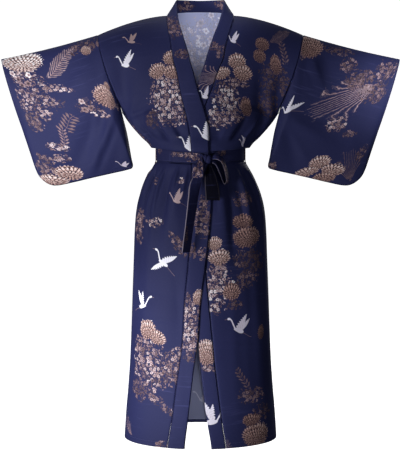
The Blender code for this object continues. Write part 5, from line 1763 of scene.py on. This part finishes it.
def make_ribbon(stations, name, motifs, flat_size, rest, worn, cotton):
    """One loop or tail of the bow, from stations along its middle."""
    rows = []
    share = np.linspace(-0.5, 0.5, RIBBON_COLUMNS + 1)[:, None]
    for number in range(RIBBON_STEPS * (len(stations) - 1) + 1):
        station = smooth_row(stations, number / RIBBON_STEPS)
        rows.append(np.array(station[:3]) + np.array(station[3:]) * share)
    base = np.array(rows)
    outside = (0.0, 0.0, -0.55)
    normals = facing_out(base, outside)
    along = lengths(base, 0).mean(1)
    knot_end = np.exp(-((along / RIBBON_GATHER_RUN) ** 2))
    if "loop" in name:  # both its ends are at the knot
        knot_end = knot_end + np.exp(-(((along[-1] - along) / RIBBON_GATHER_RUN) ** 2))
    gather = RIBBON_GATHER * np.sin(share[:, 0] * RIBBON_GATHER_TURN)[None] * knot_end[:, None]
    cup = RIBBON_CUP * (share[:, 0] * 2.0)[None] ** 2
    base = base + normals * (gather - cup)[..., None]
    piece = folded(name, base, outside, WALL, motifs, worn=worn)
    piece.data.materials.append(cotton)
    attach(piece, "root")
    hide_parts(name)


LOOP_RIGHT_PRINT = print_of(clusters=[(198, 166, 14, 24, 0, 0.66), (203, 158, 12, 12, 0, 0.6)])
LOOP_LEFT_PRINT = print_of(clusters=[(222, 166, 12, 24, 20, 0.56), (226, 180, 10, 14, 10, 0.5)])
TAIL_RIGHT_PRINT = print_of(clusters=[(186, 236, 8, 18, 0, 0.34)])
KNOT_PIECE = make_knot()
# A copy of the cotton darkened nearly to black, with dull thread and little gloss: painted shade for
# the hanging end inside the bow, where the cloth lies in shadow.
SHADED_COTTON = printed_cotton(
    "shaded_cotton", ground=paint(9, 9, 22), sheen=0.0, thread=paint(30, 30, 48), gloss=0.03
)
# What it rests on, and how pale its first and its last edge are painted, a highlight where the folded
# cloth catches the light, stand with each ribbon.
Ribbon = namedtuple("Ribbon", "name motifs flat_size rest worn cotton")
for ribbon in (
    Ribbon("bow_loop_right", LOOP_RIGHT_PRINT, (0.034, 0.115), "belt", (0.10, 0.10), BELT_COTTON),
    Ribbon("bow_loop_left", LOOP_LEFT_PRINT, (0.036, 0.185), "belt", (0.55, 0.25), BELT_COTTON),
    Ribbon(
        "tail_right", TAIL_RIGHT_PRINT, (0.040, 0.265), "front_right_skirt", (0.85, 0.10), BELT_COTTON
    ),
    Ribbon("tail_left", (), (0.041, 0.105), "front_left_skirt", (0.15, 0.10), SHADED_COTTON),
):
    make_ribbon(RIBBONS[ribbon.name], *ribbon)

# ==== the stitching =============================================================================
# Navy sewing thread, in running stitches 3 mm long, holds the hem, both cuffs, and both edges of
# the neckband and of the belt.
STITCH = {"Stitch every": 0.0046, "Stitch long": 0.0030, "Thread radius": 0.00022}


def thread_cotton():
    """The sewing thread, a navy that is lighter and darker at random along it."""
    finish = Finish("thread_cotton")
    air = finish.node("ShaderNodeTexCoord", {}, {}, 3)
    twist = finish.noise(air, 900.0, 1.0)
    colour = finish.mix(twist, paint(52, 56, 104), paint(84, 86, 134))
    return finish.end(Base_Color=colour, Roughness=0.45 + 0.2 * twist)


def stitch_tree(material):
    """Geometry Nodes: short rounded stitches along the edges of a mesh line."""
    tree = bpy.data.node_groups.new("running_stitch", "GeometryNodeTree")
    face = tree.interface
    face.new_socket("Line", in_out="INPUT", socket_type="NodeSocketGeometry")
    for name in STITCH:
        face.new_socket(name, in_out="INPUT", socket_type="NodeSocketFloat")
    face.new_socket("Stitches", in_out="OUTPUT", socket_type="NodeSocketGeometry")
    kinds = {
        "given": "NodeGroupInput",
        "made": "NodeGroupOutput",
        "curve": "GeometryNodeMeshToCurve",
        "spaced": "GeometryNodeResampleCurve",
        "way": "GeometryNodeInputTangent",
        "turn": "FunctionNodeAlignRotationToVector",
        "stitch": "GeometryNodeMeshCylinder",
        "put": "GeometryNodeInstanceOnPoints",
        "real": "GeometryNodeRealizeInstances",
        "smooth": "GeometryNodeSetShadeSmooth",
        "dyed": "GeometryNodeSetMaterial",
    }
    nodes = {name: tree.nodes.new(kind) for name, kind in kinds.items()}
    nodes["spaced"].mode = "LENGTH"
    nodes["turn"].axis = "Z"
    nodes["stitch"].inputs["Vertices"].default_value = 5
    nodes["dyed"].inputs["Material"].default_value = material
    links = (
        ("given", "Line", "curve", "Mesh"),
        ("curve", "Curve", "spaced", "Curve"),
        ("given", "Stitch every", "spaced", "Length"),
        ("way", "Tangent", "turn", "Vector"),
        ("given", "Stitch long", "stitch", "Depth"),
        ("given", "Thread radius", "stitch", "Radius"),
        ("spaced", "Curve", "put", "Points"),
        ("stitch", "Mesh", "put", "Instance"),
        ("turn", "Rotation", "put", "Rotation"),
        ("put", "Instances", "real", "Geometry"),
        ("real", "Geometry", "smooth", "Geometry"),
        ("smooth", "Geometry", "dyed", "Geometry"),
        ("dyed", "Geometry", "made", "Stitches"),
    )
    for source, output, target, socket in links:
        tree.links.new(nodes[source].outputs[output], nodes[target].inputs[socket])
    return tree


def sew(name, lines, tree):
    """Stitches along lines of points, as one piece."""
    edges, start = [], 0
    for line in lines:
        edges += [(start + n, start + n + 1) for n in range(len(line) - 1)]
        start += len(line)
    guide = mesh_piece(name + "_line", np.concatenate(lines), [], edges)
    modifier = guide.modifiers.new("stitches", "NODES")
    modifier.node_group = tree
    for item in tree.interface.items_tree:
        if item.in_out == "INPUT" and item.name in STITCH:
            modifier[item.identifier] = STITCH[item.name]
    bpy.context.view_layer.update()
    seen = guide.evaluated_get(bpy.context.evaluated_depsgraph_get())
    piece = in_scene(name, bpy.data.meshes.new_from_object(seen))
    bpy.data.objects.remove(guide, do_unlink=True)
    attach(piece, "root")


STITCHES = stitch_tree(thread_cotton())
sew("hem_stitches", HEM_LINES, STITCHES)
sew("cuff_stitches", CUFF_LINES, STITCHES)
sew("neckband_stitches", BAND_LINES, STITCHES)
sew("belt_stitches", BELT_LINES, STITCHES)
